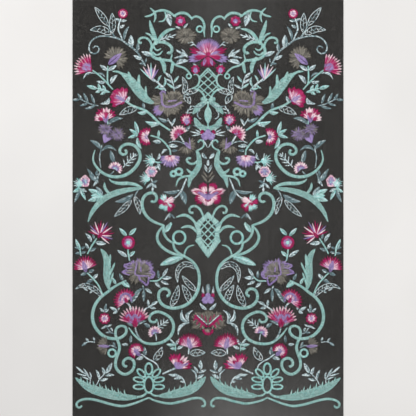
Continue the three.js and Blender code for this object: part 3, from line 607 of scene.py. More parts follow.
# Leaves of one half: foot, tip, breadth, look, and bow to its left for each millimetre of length.
LEAVES = table(Leaf, """
# x0 y0 x1 y1 broad look bend
# under the swag, by the small heads of the top
97 467 89 436 16 ice
66 430 79 435 6 ice
59 431 48 443 6 ice
210 449 223 454 7 ice
209 448 195 450 7 ice
212 432 200 439 8 ice
201 403 189 436 8 slate -0.1
184 384 185 415 15 ice
171 375 169 396 9 slate 0.1
134 365 160 375 12 ice
160 356 179 366 9 ice
150 349 148 359 5 slate
150 347 165 346 6 slate
242 330 259 343 10 ice
239 330 219 342 10 ice
234 298 217 319 11 ice -0.1
247 302 267 304 9 ice -0.1
270 322 300 307 6 ice 0.26
265 324 246 313 5 slate -0.15
235 277 268 287 8 teal
266 286 291 293 10 teal
258 284 264 298 8 teal
246 282 253 295 8 teal
258 281 270 277 8 teal
246 278 258 272 8 teal
258 250 237 265 7 ice 0.2
245 248 237 263 6 ice 0.2
272 250 281 274 7 slate
287 252 299 277 7 slate
301 257 313 275 7 slate
308 260 326 259 7 slate
289 250 308 245 6 slate
270 246 296 238 7 slate -0.06
196 253 187 268 10 ice
# along the teal stem to the daisy
153 236 156 253 8 slate
147 230 169 229 10 teal -0.1
116 204 151 208 11 teal -0.12
115 201 137 193 7 ice 0.1
126 213 135 219 7 teal
95 208 120 217 9 slate -0.1
88 198 78 215 7 ice
239 201 204 215 11 slate -0.14
257 142 283 162 11 slate 0.1
256 136 219 136 9 slate -0.3
226 109 234 138 12 slate
# star leaves and the stem to the down-facing head
167 178 176 208 10 teal
168 176 189 189 9 teal
168 175 192 168 9 teal
169 169 159 142 10 teal 0.12
119 169 118 187 7 teal
113 158 132 160 11 ice
94 150 72 148 10 ice
97 139 111 129 7 ice 0.2
87 137 73 138 7 slate
123 116 117 132 7 ice 0.2
120 108 115 90 8 ice
129 94 117 104 7 ice
133 60 148 47 7 ice
132 58 123 48 7 ice
134 60 121 66 6 slate
133 50 132 37 6 ice
266 62 290 95 9 slate
268 77 266 91 7 slate
269 65 285 79 8 slate
265 67 275 52 7 ice
261 71 271 74 6 slate
307 46 324 38 10 teal
306 45 320 13 9 slate
306 46 293 19 9 teal
305 47 291 39 7 ice
252 27 288 17 15 teal
253 29 287 45 15 teal
252 30 268 51 12 slate
253 28 281 30 13 aqua
180 32 223 15 13 slate -0.1
# by the middle line
19 178 42 183 4 ice
20 176 39 173 3.5 ice
17 180 31 188 3.5 ice
14 181 21 191 3.5 ice
66 43 53 8 16 slate -0.05
66 43 108 39 9 slate -0.1
6 255 40 245 8 slate -0.2
13 197 37 199 4.5 slate -0.1
12 164 1 145 4 ice
14 132 2 118 9 ice 0.1
25 339 37 346 6 slate
54 183 43 198 8 slate
78 345 47 353 12 ice -0.1
# under the tulip and round the spiky head
91 -12 104 -30 5 ice
89 -14 79 -26 4.5 slate
91 -13 92 -25 5 slate
270 -83 244 -86 11 ice
280 -82 294 -61 9 ice 0.1
273 -75 276 -61 6 slate
287 -98 294 -84 8 ice
283 -103 268 -96 8 slate
306 -103 318 -74 9 teal
307 -97 320 -94 7 slate
305 -98 295 -93 7 slate
305 -108 319 -109 7 slate
304 -108 293 -105 7 slate
195 -67 213 -48 10 teal
189 -65 172 -48 10 teal
194 -117 218 -101 10 ice
189 -116 175 -103 9 teal
291 -156 306 -161 9 slate
286 -154 273 -148 9 slate
275 -169 264 -158 9 ice
276 -171 292 -180 9 slate
221 -183 229 -167 8 teal
204 -174 213 -157 8 slate
204 -175 187 -190 10 teal
# sprigs of the rose
109 -164 96 -144 8 ice
119 -169 120 -149 7 slate
110 -168 87 -167 10 ice
113 -175 94 -184 8 ice
127 -178 114 -191 8 ice
158 -193 177 -206 8 slate
154 -196 154 -225 8 slate
150 -193 134 -205 8 ice
184 -228 162 -198 11 slate -0.05
143 -235 144 -220 7 ice
136 -232 120 -224 8 ice
140 -238 125 -241 7 ice
249 -250 260 -240 6 ice
247 -250 238 -242 6 ice
248 -250 244 -229 7 slate
218 -247 236 -237 8 ice
217 -248 228 -253 7 ice
215 -245 215 -234 6 ice
# round the lower heads
244 -282 257 -289 5 ice -0.1
244 -283 231 -279 5 ice 0.1
232 -298 246 -299 5 slate
229 -296 234 -287 6 ice
179 -283 195 -275 7 slate
171 -282 148 -271 8 slate -0.12
139 -286 154 -276 9 slate
287 -320 293 -312 6 ice
272 -319 275 -310 6 ice
291 -322 303 -331 7 slate
223 -332 228 -321 6 slate
192 -328 207 -327 8 ice
186 -323 185 -305 8 slate
150 -353 152 -333 11 slate -0.05
155 -358 172 -363 10 ice
78 -329 69 -314 8 ice
81 -330 100 -327 8 teal
78 -338 91 -337 8 teal
75 -338 59 -330 8 ice
80 -328 92 -313 6 ice
18 -388 18 -365 11 ice
24 -395 34 -380 7 ice
22 -395 4 -388 7 ice
27 -408 10 -399 8 ice
# crescents by the low peony and leaves of the thistle bud
45 -276 62 -243 10 ice -0.26
45 -275 35 -245 9 ice -0.32
46 -276 71 -307 8 ice 0.26
3 -244 20 -228 8 ice -0.08
3 -203 3 -182 5 slate
9 -212 12 -188 4.5 ice -0.1
# the bud and the feathered leaf of the heart frame
104 -58 87 -35 13 teal
64 -119 114 -137 16 aqua
# feather sprigs
120 302 111 319 5 teal -0.1
116 297 128 287 5 teal -0.16
108 290 105 315 6 teal 0.16
124 303 141 313 6 ice -0.04
102 286 121 288 5 teal -0.1
87 311 103 325 8 ice
82 301 70 317 6 teal
83 299 102 310 6 ice
82 287 99 299 6 teal
82 286 62 296 6 ice
49 368 77 377 5 ice -0.04
54 371 64 381 4.5 ice
52 366 83 359 5 ice
59 365 70 358 4.5 slate
48 365 66 368 4 ice
199 102 203 116 3.5 ice
192 110 194 125 3.5 ice
185 118 186 131 3.5 ice
179 124 179 134 3 ice
198 102 185 102 3.5 ice
192 108 178 110 3.5 ice
186 114 172 119 3.5 ice
179 122 168 128 3 ice
119 -284 120 -272 3 ice
113 -280 113 -268 3 ice
107 -276 106 -265 3 ice
116 -286 106 -288 3 ice
110 -281 99 -281 3 ice
103 -276 94 -274 3 ice
113 403 107 413 3.5 ice
104 406 98 416 3.5 ice
96 409 90 418 3.5 ice
110 403 100 400 3.5 ice
102 406 91 404 3.5 ice
92 410 82 409 3.5 ice
85 413 74 417 3.5 ice
39 398 48 395 3.5 ice
34 393 42 389 3.5 ice
38 399 36 408 3.5 ice
51 222 53 231 3 ice
48 228 49 238 3 ice
47 227 38 230 3 ice
44 235 35 239 3 ice
44 237 41 246 3 ice
# small chevrons between the heart scrolls
1 85 10 99 3 ice
1 92 9 104 3 ice
1 62 16 80 5 taupe
1 72 12 88 4 taupe
# sprigs of the two banks
288 -186 280 -196 4.5 ice
284 -204 276 -197 5 ice
299 -192 288 -198 4.5 ice
261 -411 269 -388 7 ice 0.08
249 -400 255 -382 8 ice 0.1
243 -396 230 -371 11 ice
246 -402 224 -401 7 ice -0.06
258 -414 239 -409 7 ice
282 -411 284 -393 4.5 ice 0.1
286 -404 299 -384 4.5 ice
298 -396 317 -380 5 white
291 -403 314 -397 4 ice
285 -411 302 -405 4 ice
68 -406 82 -397 7 ice
77 -403 95 -399 7 ice
64 -407 82 -410 7 ice
60 -411 70 -402 6 ice
57 -417 67 -416 6 ice
""")

# Leaves in outline, with the net open between their veins.
LACE_LEAVES = table(Lace, """
# broad course
14.9 240,438 255,460 271,481
14.9 230,420 229,444 230,467
15.8 232,417 258,429 282,427
11 59,274 54,293 61,314
12.5 54,276 39,280 24,281
14.4 58,271 49,262 43,250
15.4 170,240 192,234 212,224
13.2 184,19 203,-2 224,-20
13.4 176,27 167,7 163,-15
12 253,-214 270,-196 288,-187 305,-187 317,-194
12 30,-146 44,-136 59,-136 70,-146 74,-161 73,-178
12 28,-199 46,-182 62,-163
15.6 89,-236 77,-211 71,-186
14.4 43,-228 50,-206 62,-185
15.4 130,-365 117,-350 110,-334
15.4 43,-349 25,-347 7,-347
""")

# Thin stems of one half.
STEMS = table(Stem, """
# half look course
2.6 slate 229,419 223,410 207,403 195,394 181,384 169,373 158,354 150,340
1.9 slate 205,402 223,408 242,412 263,411 277,403 285,389 283,375 272,370 262,377 263,386 271,388
 276,383
1.9 ice 208,455 213,443 215,427 209,413 204,401
1.9 teal 240,341 241,321 241,307 239,296
2.2 teal 280,332 263,320 247,305 228,284
2.2 ice 132,310 120,300 108,290 101,281
3.1 teal 200,258 184,247 167,240 151,234 134,221 117,204 91,186
1.4 ice 97,215 85,196
1.7 teal 241,212 240,200
1.4 slate 254,152 257,138 260,123 259,109 257,96
1.4 slate 226,88 237,77
2.4 teal 138,174 115,166 99,151 91,138 90,124
1.2 slate 95,156 83,160 66,158 55,152
2.2 ice 67,173 61,163 54,151
1.9 teal 131,113 120,109 111,110
1.4 ice 136,71 133,58 132,41
2.4 teal 312,51 306,45
1.4 slate 259,86 265,72 264,60
1.4 slate 167,43 173,34 176,27
1.9 ice 51,71 57,58 64,41 77,26 89,21
1.4 slate 19,235 25,228 24,218 16,213
1.4 ice 1,115 2,101
2.2 teal 267,-73 279,-91 289,-110
1.9 teal 307,-98 305,-115
1.9 teal 192,-97 191,-110 188,-127
1.9 teal 290,-155 275,-170 263,-185 253,-207
1.9 teal 140,-175 120,-174 108,-164
1.9 slate 156,-186 154,-197
1.7 ice 157,-247 145,-239 129,-230
1.2 slate 247,-281 240,-289 233,-299 222,-302
1.9 slate 175,-277 173,-294 167,-308 157,-320
1.2 ice 126,-302 124,-310 124,-319
1.4 ice 123,-288 109,-278 95,-268
1.4 teal 78,-344 79,-329 92,-314
1.2 ice 271,-322 287,-321 299,-328
1.7 slate 219,-336 231,-330 238,-330
1.7 ice 160,-350 144,-362 130,-369 120,-379 119,-386
1.9 ice 45,-334 47,-351
2.4 ice 77,-384 94,-391 109,-398
1.7 ice 29,-409 29,-398 40,-387
1.4 ice 54,-423 62,-408 94,-399
1 ice 283,-423 283,-410 294,-398 306,-389
1.2 ice 267,-424 261,-412 251,-401 240,-391
2.2 ice 197,-225 188,-234 184,-242
1.2 slate 230,420 235,429 240,438
1.2 slate 308,262 292,254 277,248 263,245
1.2 ice 204,97 188,114 172,131
1.2 ice 123,398 106,407 88,412 78,415
1 ice 49,361 64,373 77,380
1 ice 29,388 37,397 43,403
1.4 ice 81,280 83,295 88,312
1.2 ice 110,282 116,296 121,305
1 ice 52,222 47,234 40,244
1.2 ice 14,176 25,179
""")


# ---- courses and stitches
SEWN = []
Sewn = namedtuple("Sewn", "thread node start end level broad")
Course = namedtuple("Course", "s place left long")


def sew(thread, start, end, side=1, level=0.0, broad=BROAD, node=None):
    """Adds stitches of one thread from points start to points end, on the left or the right half."""
    start, end = (np.asarray(points, float) * (side, 1) for points in (start, end))
    level, broad = (np.broadcast_to(np.asarray(size, float), len(start)) for size in (level, broad))
    SEWN.append(Sewn(thread, node, start, end, level, broad))


def sew_mixed(shares, start, end, side, level, broad=BROAD, node=None):
    """Sews with several threads, each taking its share of the stitches by chance."""
    weights = np.array(list(shares.values()))
    picks = CHANCE.choice(len(shares), size=len(start), p=weights / weights.sum())
    level, broad = (np.broadcast_to(np.asarray(size, float), len(start)) for size in (level, broad))
    for i, thread in enumerate(shares):
        took = picks == i
        if took.any():
            sew(thread, start[took], end[took], side, level[took], broad[took], node)


def places(at, s, columns):
    """Two columns known at lengths s, read at other lengths."""
    return np.column_stack([np.interp(at, s, columns[:, i]) for i in (0, 1)])


def run_of(line):
    """Length from the start to each point of a line."""
    return np.concatenate([[0], np.cumsum(np.hypot(*np.diff(line, axis=0).T))])


def smooth(points):
    """A smooth centripetal course through the points, with its length, places and left-hand way."""
    p = np.array(points, float)
    p = np.vstack([2 * p[0] - p[1], p, 2 * p[-1] - p[-2]])
    runs = []
    for a, b, c, d in zip(p, p[1:], p[2:], p[3:]):
        before, here, after = (max(math.dist(u, v) ** 0.5, 1e-4) for u, v in ((a, b), (b, c), (c, d)))
        leave = ((b - a) / before - (c - a) / (before + here) + (c - b) / here) * here
        reach = ((c - b) / here - (d - b) / (here + after) + (d - c) / after) * here
        t = np.linspace(0, 1, COURSE_STEPS, endpoint=False)[:, None]
        bend = 3 * (c - b) - 2 * leave - reach
        turn = 2 * (b - c) + leave + reach
        runs.append(b + leave * t + bend * t**2 + turn * t**3)
    line = np.vstack(runs + [p[-2:-1]])
    s = run_of(line)
    even = np.linspace(0, s[-1], max(8, int(s[-1] / COURSE_STEP)))
    place = places(even, s, line)
    way = np.gradient(place, axis=0)
    way /= np.hypot(*way.T)[:, None]
    return Course(even, place, np.column_stack([-way[:, 1], way[:, 0]]), s[-1])


def spots(course, s, off):
    """Places at lengths s along a course, off to its left by off."""
    s = np.clip(s, 0, course.long)
    left = places(s, course.s, course.left)
    return places(s, course.s, course.place) + left * np.broadcast_to(off, len(s))[:, None]


def swell(half, t):
    """Half width of a ribbon, eased from its start over its middle to its end."""
    start, middle, end = half
    ends = start + (end - start) * t
    return np.maximum(TIP, ends + (middle - ends) * np.sin(math.pi * np.clip(t, 0, 1)) ** SWELL)


def satin(course, half, shares, side, level=0.1, node=None, slant=SATIN_SLANT):
    """Slanted satin stitches across a course, a little past its drawn edges and uneven there."""
    s = np.arange(SATIN_FIRST, course.long, SATIN_PITCH)
    s = s + CHANCE.normal(0, SATIN_DRIFT, len(s))
    w = swell(half, s / course.long) * SATIN_GROW + SATIN_OVER
    fray = CHANCE.normal(0, SATIN_FRAY, (2, len(s)))
    start = spots(course, s - slant * w, w + fray[0])
    end = spots(course, s + slant * w, -w - fray[1])
    sew_mixed(shares, start, end, side, level + CHANCE.normal(0, LEVEL_DRIFT, len(s)), node=node)


def rows_fill(course, half, shares, side, level=0.1, node=None):
    """Rows of stitches that run with a broad course, each row started at another place."""
    t = np.linspace(0, 1, 60)
    widest = swell(half, t).max()
    for k, off in enumerate(np.arange(-widest + PITCH / 2, widest, ROW_PITCH)):
        inside = t[swell(half, t) > abs(off) - PITCH * 0.2]
        if len(inside) < 2:
            continue
        first = inside[0] * course.long + CHANCE.uniform(0, ROW_RAGGED)
        last = inside[-1] * course.long - CHANCE.uniform(0, ROW_RAGGED)
        marks = np.arange(first - FILL_STITCH * ((k * ROW_STAGGER) % 1), last, FILL_STITCH)
        marks = marks + CHANCE.normal(0, FILL_DRIFT, len(marks))
        marks = np.clip(np.append(marks, last), first, last)
        keep = marks[1:] - marks[:-1] > FILL_LEAST
        start, end = marks[:-1][keep], marks[1:][keep]
        lean = FILL_LEAN * (-1) ** k
        start, end = spots(course, start, off - lean), spots(course, end + FILL_LEAP, off + lean)
        sew_mixed(shares, start, end, side, level + CHANCE.normal(0, 2 * LEVEL_DRIFT, len(start)),
                  FILL_BROAD, node)


def ribbon(row, side, node):
    """One ribbon of the scroll work: filled in rows where it is broad, and satin where it is slim."""
    shares = {"teal": 0.9, "aqua": 0.1}
    if max(row.half) > SATIN_HALF:
        rows_fill(smooth(row.course), row.half, shares, side, 0.1, node)
    else:
        satin(smooth(row.course), row.half, shares, side, 0.15, node)


def ring(row, side, node):
    """Satin stitches round a ring or a loop."""
    turn = math.radians(row.turn)
    root = math.sqrt((3 * row.rx + row.ry) * (row.rx + 3 * row.ry))
    around = math.pi * (3 * (row.rx + row.ry) - root)
    a = np.linspace(0, math.tau, int(around / PITCH * 1.15), endpoint=False)
    ends = []
    for grow, lead in ((row.half, 0.0), (-row.half, 0.5 * row.half / max(row.rx, row.ry))):
        u = (row.rx + grow) * np.cos(a + lead)
        v = (row.ry + grow) * np.sin(a + lead)
        ends.append(np.column_stack([row.x + u * math.cos(turn) - v * math.sin(turn),
                                     row.y + u * math.sin(turn) + v * math.cos(turn)]))
    sew_mixed({"teal": 0.6, "aqua": 0.4}, ends[0], ends[1], side, 0.2, node=node)


def grass(row, side, node):
    """Blades of grass along a bank, tall and short by turns, of a few threads each."""
    for i in range(row.blades * 2 - 1):
        t = i / (row.blades * 2 - 2)
        x = row.start[0] + (row.end[0] - row.start[0]) * t
        y = row.start[1] + (row.end[1] - row.start[1]) * t - row.sag * math.sin(math.pi * t)
        lean = math.copysign(BLADE * (1.0 + 0.5 * (i % 2)), row.start[0] - row.end[0])
        tall = row.tall * (1.15 if i % 2 == 0 else 0.6)
        foot = x + np.linspace(-BLADE * 0.55, BLADE * 0.55, BLADE_THREADS)
        start = np.column_stack([foot, np.full(BLADE_THREADS, y - 3)])
        end = np.column_stack([x + lean + (foot - x) * 0.12, y + tall - np.abs(foot - x) * 1.6])
        sew("teal", start, end, side, 0.18, FRAME_BROAD, node)


# ---- flower heads
def tooth_at(u, teeth):
    """Where u, from -1 to 1 across the head, lies in its tooth: -1 in a notch and 1 at a point."""
    phase = (u + 1) / 2 * teeth
    return 1 - 2 * np.abs(2 * (phase - np.floor(phase)) - 1)


def sew_rays(row, side, u, a, reach, head_ring, ring_no, swing):
    """Sews one ring of long and short stitches of a head, with its borders interlocked."""
    count = len(u)
    reach = reach * (1 - row.deep * (0.5 - 0.5 * tooth_at(u, row.teeth)))
    begin = head_ring.first + head_ring.sway * tooth_at(u, row.teeth)
    begin = begin + CHANCE.uniform(-0.1, 0.08, count)
    begin = np.maximum(begin, 0) if head_ring.first > 0 else np.zeros(count)
    if head_ring.last < 1:
        stop = head_ring.last + CHANCE.uniform(-0.1, 0.06, count)
    else:  # the outer ends, more uneven in taupe
        stop = 1 + CHANCE.normal(0, 0.05 if "taupe" in head_ring.shares else 0.014, count)
    keep = stop - begin > 0.06
    way = np.column_stack([np.cos(a), np.sin(a)]) * reach[:, None]
    start, end = (np.array([row.x, row.y]) + (way * share[:, None])[keep] for share in (begin, stop))
    broad = np.clip(reach * stop * swing / count * 1.25, 0.9, 1.6)[keep]
    level = row.level + 0.06 * ring_no + CHANCE.normal(0, 0.04, len(start))
    sew_mixed(head_ring.shares, start, end, side, level, broad, row.node)


def fan(row, side):
    """A head or a petal that opens from its foot."""
    swing = math.radians(row.spread)
    for ring_no, head_ring in enumerate(HEAD_LOOKS[row.look]):
        count = max(4, int(row.r * head_ring.last * swing / PITCH * 0.82))
        u = np.linspace(-0.98, 0.98, count) + CHANCE.normal(0, 0.25 / count, count)
        u = np.clip(u, -0.999, 0.999)
        reach = row.r * (1 - row.crown * np.abs(u) ** 2.6)
        sew_rays(row, side, u, math.radians(row.turn) + u * swing / 2, reach, head_ring, ring_no, swing)


def round_head(row, side):
    """A round head."""
    for ring_no, head_ring in enumerate(HEAD_LOOKS[row.look]):
        count = max(8, int((row.rx + row.ry) / 2 * head_ring.last * math.tau / PITCH * 0.85))
        u = np.linspace(-1, 1, count, endpoint=False)
        a = u * math.pi + math.pi / 2
        reach = 1 / np.hypot(np.cos(a) / row.rx, np.sin(a) / row.ry)
        sew_rays(row, side, u, a, reach, head_ring, ring_no, math.tau)


def leaf(row, side, level=0.25, node=None):
    """A leaf of slanted stitches from its rib to its edges, or straight across where it is narrow."""
    foot, tip = np.array([row.x0, row.y0], float), np.array([row.x1, row.y1], float)
    way = tip - foot
    long = math.hypot(*way)
    left = np.array([-way[1], way[0]]) / long
    first, second = LEAF_LOOKS[row.look]

    def rib(t):
        return foot + np.outer(t, way) + np.outer(4 * t * (1 - t), left) * row.bend * long

    def width(t):
        return np.maximum(0.3, row.broad / 2 * np.sin(math.pi * np.clip(t, 0, 1) ** 0.85) ** 0.8)

    if row.broad < NARROW_LEAF:
        t = np.linspace(0, 0.97, max(5, int(long / PITCH * 1.1)))
        lead = 0.45 * row.broad / long
        start = rib(t) + left * width(t)[:, None]
        end = rib(np.minimum(1, t + lead)) - left * width(t + lead)[:, None]
        sew_mixed(first, start, end, side, level, node=node)
        return
    t = np.linspace(0, 0.94, max(6, int(long / PITCH * 1.05)))
    lead = 0.5 * row.broad / long * width(t) / (row.broad / 2)
    edge = np.minimum(1, t + lead)
    for hand, shares in ((1, first), (-1, second)):
        end = rib(edge) + left * (hand * width(edge) + CHANCE.normal(0, 0.12, len(t)))[:, None]
        sew_mixed(shares, rib(t), end, side, level + CHANCE.normal(0, LEVEL_DRIFT, len(t)), node=node)


def lace_leaf(row, side, level=0.25):
    """A leaf in outline, with its rib and cross veins and the net open between them."""
    course = smooth(row.course)

    def at(t, hand):
        w = row.broad / 2 * np.sin(math.pi * np.clip(t, 0, 1) ** 0.8) ** 0.75
        return spots(course, t * course.long, hand * w)

    t = np.linspace(0, 1, max(8, int(course.long / LACE_STEP)))
    for hand, broad in ((1, 1.8), (-1, 1.8), (0, 0.9)):
        line = at(t, hand)
        shares = {"ice": 0.9, "slate": 0.1} if hand else {"ice": 0.5, "slate": 0.5}
        sew_mixed(shares, line[:-1], line[1:] + (line[1:] - line[:-1]) * 0.25, side, level, broad)
    veins = np.arange(0.1, 0.84, VEIN_PITCH / course.long)
    hands = np.where(np.arange(len(veins)) % 2 == 0, 1, -1)
    lead = 0.4 * row.broad / course.long
    for hand in (1, -1):
        mine = veins[hands == hand]
        end = at(np.minimum(1, mine + lead), hand * 0.96)
        sew_mixed({"ice": 0.8, "slate": 0.2}, at(mine, -hand * 0.3), end, side, level, 1.5)


def stem(row, side, level=0.05):
    """A stem or a band in slanted stitches."""
    satin(smooth(row.course), (row.half * 0.8, row.half, row.half * 0.7), STEM_LOOKS[row.look],
          side, level, slant=THIN_SLANT if row.half < 2 else SATIN_SLANT)


def burst(row, side):
    """A head of single spikes, or a spiky bud."""
    threads = SPIKES[row.look]
    for i in range(row.count):
        u = 2 * i / (row.count - 1) - 1
        a = math.radians(row.turn + u * row.spread / 2)
        reach = row.r * (1 - 0.16 * u * u) * (1.0 if i % 2 == 0 else 0.84)
        tip = (row.x + reach * math.cos(a), row.y + reach * math.sin(a))
        spike = Leaf(row.x, row.y, *tip, row.broad, threads[i % len(threads)], 0.04 * u)
        leaf(spike, side, 0.45 + 0.05 * (i % 3), row.node)


# ---- lattices
def cuts(outline, origin, way):
    """Where a straight line runs inside an outline: pairs of distances along it."""
    hits = []
    for (x0, y0), (x1, y1) in zip(outline, outline[1:] + outline[:1]):
        ex, ey = x1 - x0, y1 - y0
        cross = way[0] * ey - way[1] * ex
        if abs(cross) < 1e-9:
            continue
        share = ((x0 - origin[0]) * way[1] - (y0 - origin[1]) * way[0]) / cross
        if 0 <= share < 1:
            hits.append((x0 + ex * share - origin[0]) * way[0] + (y0 + ey * share - origin[1]) * way[1])
    hits.sort()
    return list(zip(hits[::2], hits[1::2]))


def lattice(row):
    """Leaning bars within the outline, and a broad frame where there is one."""
    outline = row.outline + [(-x, y) for x, y in reversed(row.outline[1:-1])]
    count = math.ceil((row.tall + row.wide) / row.pitch)
    for lean in (-row.lean, row.lean):
        a = math.radians(lean)
        way, across = (math.cos(a), math.sin(a)), (-math.sin(a), math.cos(a))
        for i in range(-count, count + 1):
            off = (i + 0.5) * row.pitch
            origin = (across[0] * off, row.mid + across[1] * off)
            for near, far in cuts(outline, origin, way):
                if far - near < 4:
                    continue
                ends = [(origin[0] + way[0] * d, origin[1] + way[1] * d) for d in (near, far)]
                bar = smooth([ends[0], tuple(np.mean(ends, axis=0)), ends[1]])
                satin(bar, (row.half,) * 3, {"teal": 0.85, "aqua": 0.15}, 1, 0.15 + 0.1 * (lean > 0),
                      row.node, slant=0.6)
    if row.open:
        lines = [np.array(corners, float) for corners in (row.outline, row.open)]
        runs = [run_of(line) for line in lines]
        t = np.linspace(0, 1, int(runs[0][-1] / PITCH * 1.1))
        outer, inner = (places(t * s[-1], s, line) for s, line in zip(runs, lines))
        for side in (1, -1):
            sew_mixed({"teal": 0.82, "slate": 0.18}, outer, inner, side, 0.2, FRAME_BROAD, row.node)


# ---- all the sewing
def sew_all():
    """Sews every motif, one half after the other."""
    for row in LATTICES:
        lattice(row)
        for part in SPRINGING:
            if part.node == row.node:
                for side in (-1, 1):
                    ribbon(part, side, row.node)
    for side, word in ((-1, "left"), (1, "right")):
        def named(row):
            return f"{row.node}_{word}" if row.node else None
        for row in SCROLLS:
            ribbon(row, side, named(row))
        for row in RINGS:
            ring(row, side, named(row))
        for row in GRASS:
            grass(row, side, f"palmette_{word}")
        for row in STEMS:
            stem(row, side)
        for row in LEAVES:
            leaf(row, side)
        for row in LACE_LEAVES:
            lace_leaf(row, side)
        for make, rows in ((fan, FANS + PETALS), (round_head, ROUNDS), (burst, BURSTS)):
            for row in rows:
                make(row._replace(node=named(row)), side)
    for row in MIDDLE_PETALS:
        fan(row, 1)
        if abs(row.turn) != 90:
            fan(row, -1)
    for side in (-1, 1):
        for row in HEARTS:
            leaf(row, side, 1.0)
        for i, row in enumerate(BANDS):
            stem(row, side, 0.9 + 0.05 * i)


def net_height(x, y):
    """Height of the net over the floor, in millimetres, with its soft folds and creases."""
    high = NET_Z + 0.16 * np.sin(x / 47 + y / 130) * np.sin(y / 61 - x / 190)
    for row in CREASES:
        way = np.array([row.x1 - row.x0, row.y1 - row.y0], float)
        long = math.hypot(*way)
        way /= long
        along = ((x - row.x0) * way[0] + (y - row.y0) * way[1]) / long
        off = (-(x - row.x0) * way[1] + (y - row.y0) * way[0]) / (row.wide * 0.5)
        fade = np.clip(1.25 - np.abs(along - 0.5) * 1.7, 0, 1)
        high = high + row.high * np.exp(-off * off) * fade
    return high


# ---- meshes
def place_piece(name, data):
    """A new object in the scene."""
    piece = bpy.data.objects.new(name, data)
    bpy.context.scene.collection.objects.link(piece)
    return piece


def stitch_form():
    """One stitch: a three-sided spindle from 0 to 1 along z, its top at y = 1."""
    bm = bmesh.new()
    bmesh.ops.create_uvsphere(bm, u_segments=3, v_segments=3, radius=1)
    for v in bm.verts:
        rim = math.hypot(v.co.x, v.co.y)
        if rim > 0.01:
            v.co.x, v.co.y = v.co.x / rim, v.co.y / rim
            v.co.z = 0.68 * (1 if v.co.z > 0 else -1)
        v.co.z = v.co.z / 2 + 0.5
    first = next(v for v in bm.verts if math.hypot(v.co.x, v.co.y) > 0.5)
    turn = math.pi / 2 - math.atan2(first.co.y, first.co.x)
    bmesh.ops.rotate(bm, verts=bm.verts, cent=(0, 0, 0), matrix=Matrix.Rotation(turn, 3, "Z"))
    bmesh.ops.triangulate(bm, faces=bm.faces)
    bmesh.ops.recalc_face_normals(bm, faces=bm.faces)
    points = np.array([v.co[:] for v in bm.verts])
    faces = np.array([[v.index for v in f.verts] for f in bm.faces])
    bm.free()
    return points, faces


def thread_mesh(name, start, end, level, broad):
    """Joins all the stitches of one thread into one mesh, with their shade and their lengthwise UV."""
    form, faces = stitch_form()
    count = len(start)
    way = end - start
    true_long = np.hypot(*way.T)
    long = np.maximum(true_long, SHORTEST)
    way = way / np.maximum(true_long, 1e-6)[:, None]
    left = np.column_stack([-way[:, 1], way[:, 0]])
    along = form[:, 2]
    at = start[:, None, :] + (way * long[:, None])[:, None, :] * along[None, :, None]
    at = at + left[:, None, :] * (form[:, 0][None, :] * broad[:, None] * 0.58)[:, :, None]
    high = np.minimum(STITCH_TALLEST, STITCH_HIGH + STITCH_SWELL * long)
    z = net_height(at[:, :, 0], at[:, :, 1]) + STITCH_LIFT + level[:, None]
    z = z + form[:, 1][None, :] * high[:, None]
    dip = (along < 0.01) | (along > 0.99)
    z = z - dip[None, :] * STITCH_DIP
    points = np.dstack([at, z]).reshape(-1, 3) * MM
    tris = (faces[None, :, :] + (np.arange(count) * len(form))[:, None, None]).reshape(-1, 3)
    mesh = bpy.data.meshes.new(name)
    mesh.from_pydata(points, [], tris)
    mesh.polygons.foreach_set("use_smooth", np.ones(len(tris), bool))
    shade = mesh.attributes.new("shade", "FLOAT", "POINT")
    tone = np.clip(CHANCE.normal(0.5, 0.2, count), 0, 1)
    shade.data.foreach_set("value", np.repeat(tone, len(form)).astype(np.float32))
    uv = mesh.uv_layers.new(name="stitch")
    lengthwise = (long[:, None] * along[None, :]).reshape(-1) * MM
    around = np.tile(form[:, 0] * 0.5 + 0.5, count)
    corners = tris.reshape(-1)
    spread = np.column_stack([lengthwise[corners], around[corners]]).astype(np.float32)
    uv.data.foreach_set("uv", spread.reshape(-1))
    mesh.update()
    return place_piece(name, mesh)


def net_sheet():
    """The net as one thin sheet on its soft folds."""
    bm = bmesh.new()
    bmesh.ops.create_grid(bm, x_segments=PANEL_W // CELL, y_segments=PANEL_L // CELL, size=0.5,
                          calc_uvs=True)
    bmesh.ops.scale(bm, vec=(PANEL_W * MM, PANEL_L * MM, 1), verts=bm.verts)
    for v in bm.verts:
        v.co.z = float(net_height(np.array(v.co.x / MM), np.array(v.co.y / MM))) * MM
    mesh = bpy.data.meshes.new("tulle_net")
    bm.to_mesh(mesh)
    bm.free()
    for face in mesh.polygons:
        face.use_smooth = True
    return place_piece("tulle_net", mesh)


# ---- materials
def linear(colour):
    """sRGB hex to linear RGBA."""
    parts = [int(colour[i:i + 2], 16) / 255 for i in (1, 3, 5)]
    return tuple(c / 12.92 if c <= 0.04045 else ((c + 0.055) / 1.055) ** 2.4 for c in parts) + (1.0,)


def add(tree, kind, settings=None, **links):
    """Adds one node with its settings, and joins or sets its sockets, by name or as i and a number."""
    node = tree.nodes.new(kind)
    for key, value in (settings or {}).items():
        setattr(node, key, value)
    for key, value in links.items():
        by_number = key[0] == "i" and key[1:].isdigit()
        socket = node.inputs[int(key[1:]) if by_number else key.replace("_", " ")]
        if isinstance(value, bpy.types.NodeSocket):
            tree.links.new(value, socket)
        else:
            socket.default_value = value
    return node


def blank(name):
    """A new material with nothing in it, and the place on the object."""
    material = bpy.data.materials.new(name)
    material.use_nodes = True
    material.node_tree.nodes.clear()
    return material, material.node_tree, add(material.node_tree, "ShaderNodeTexCoord").outputs["Object"]


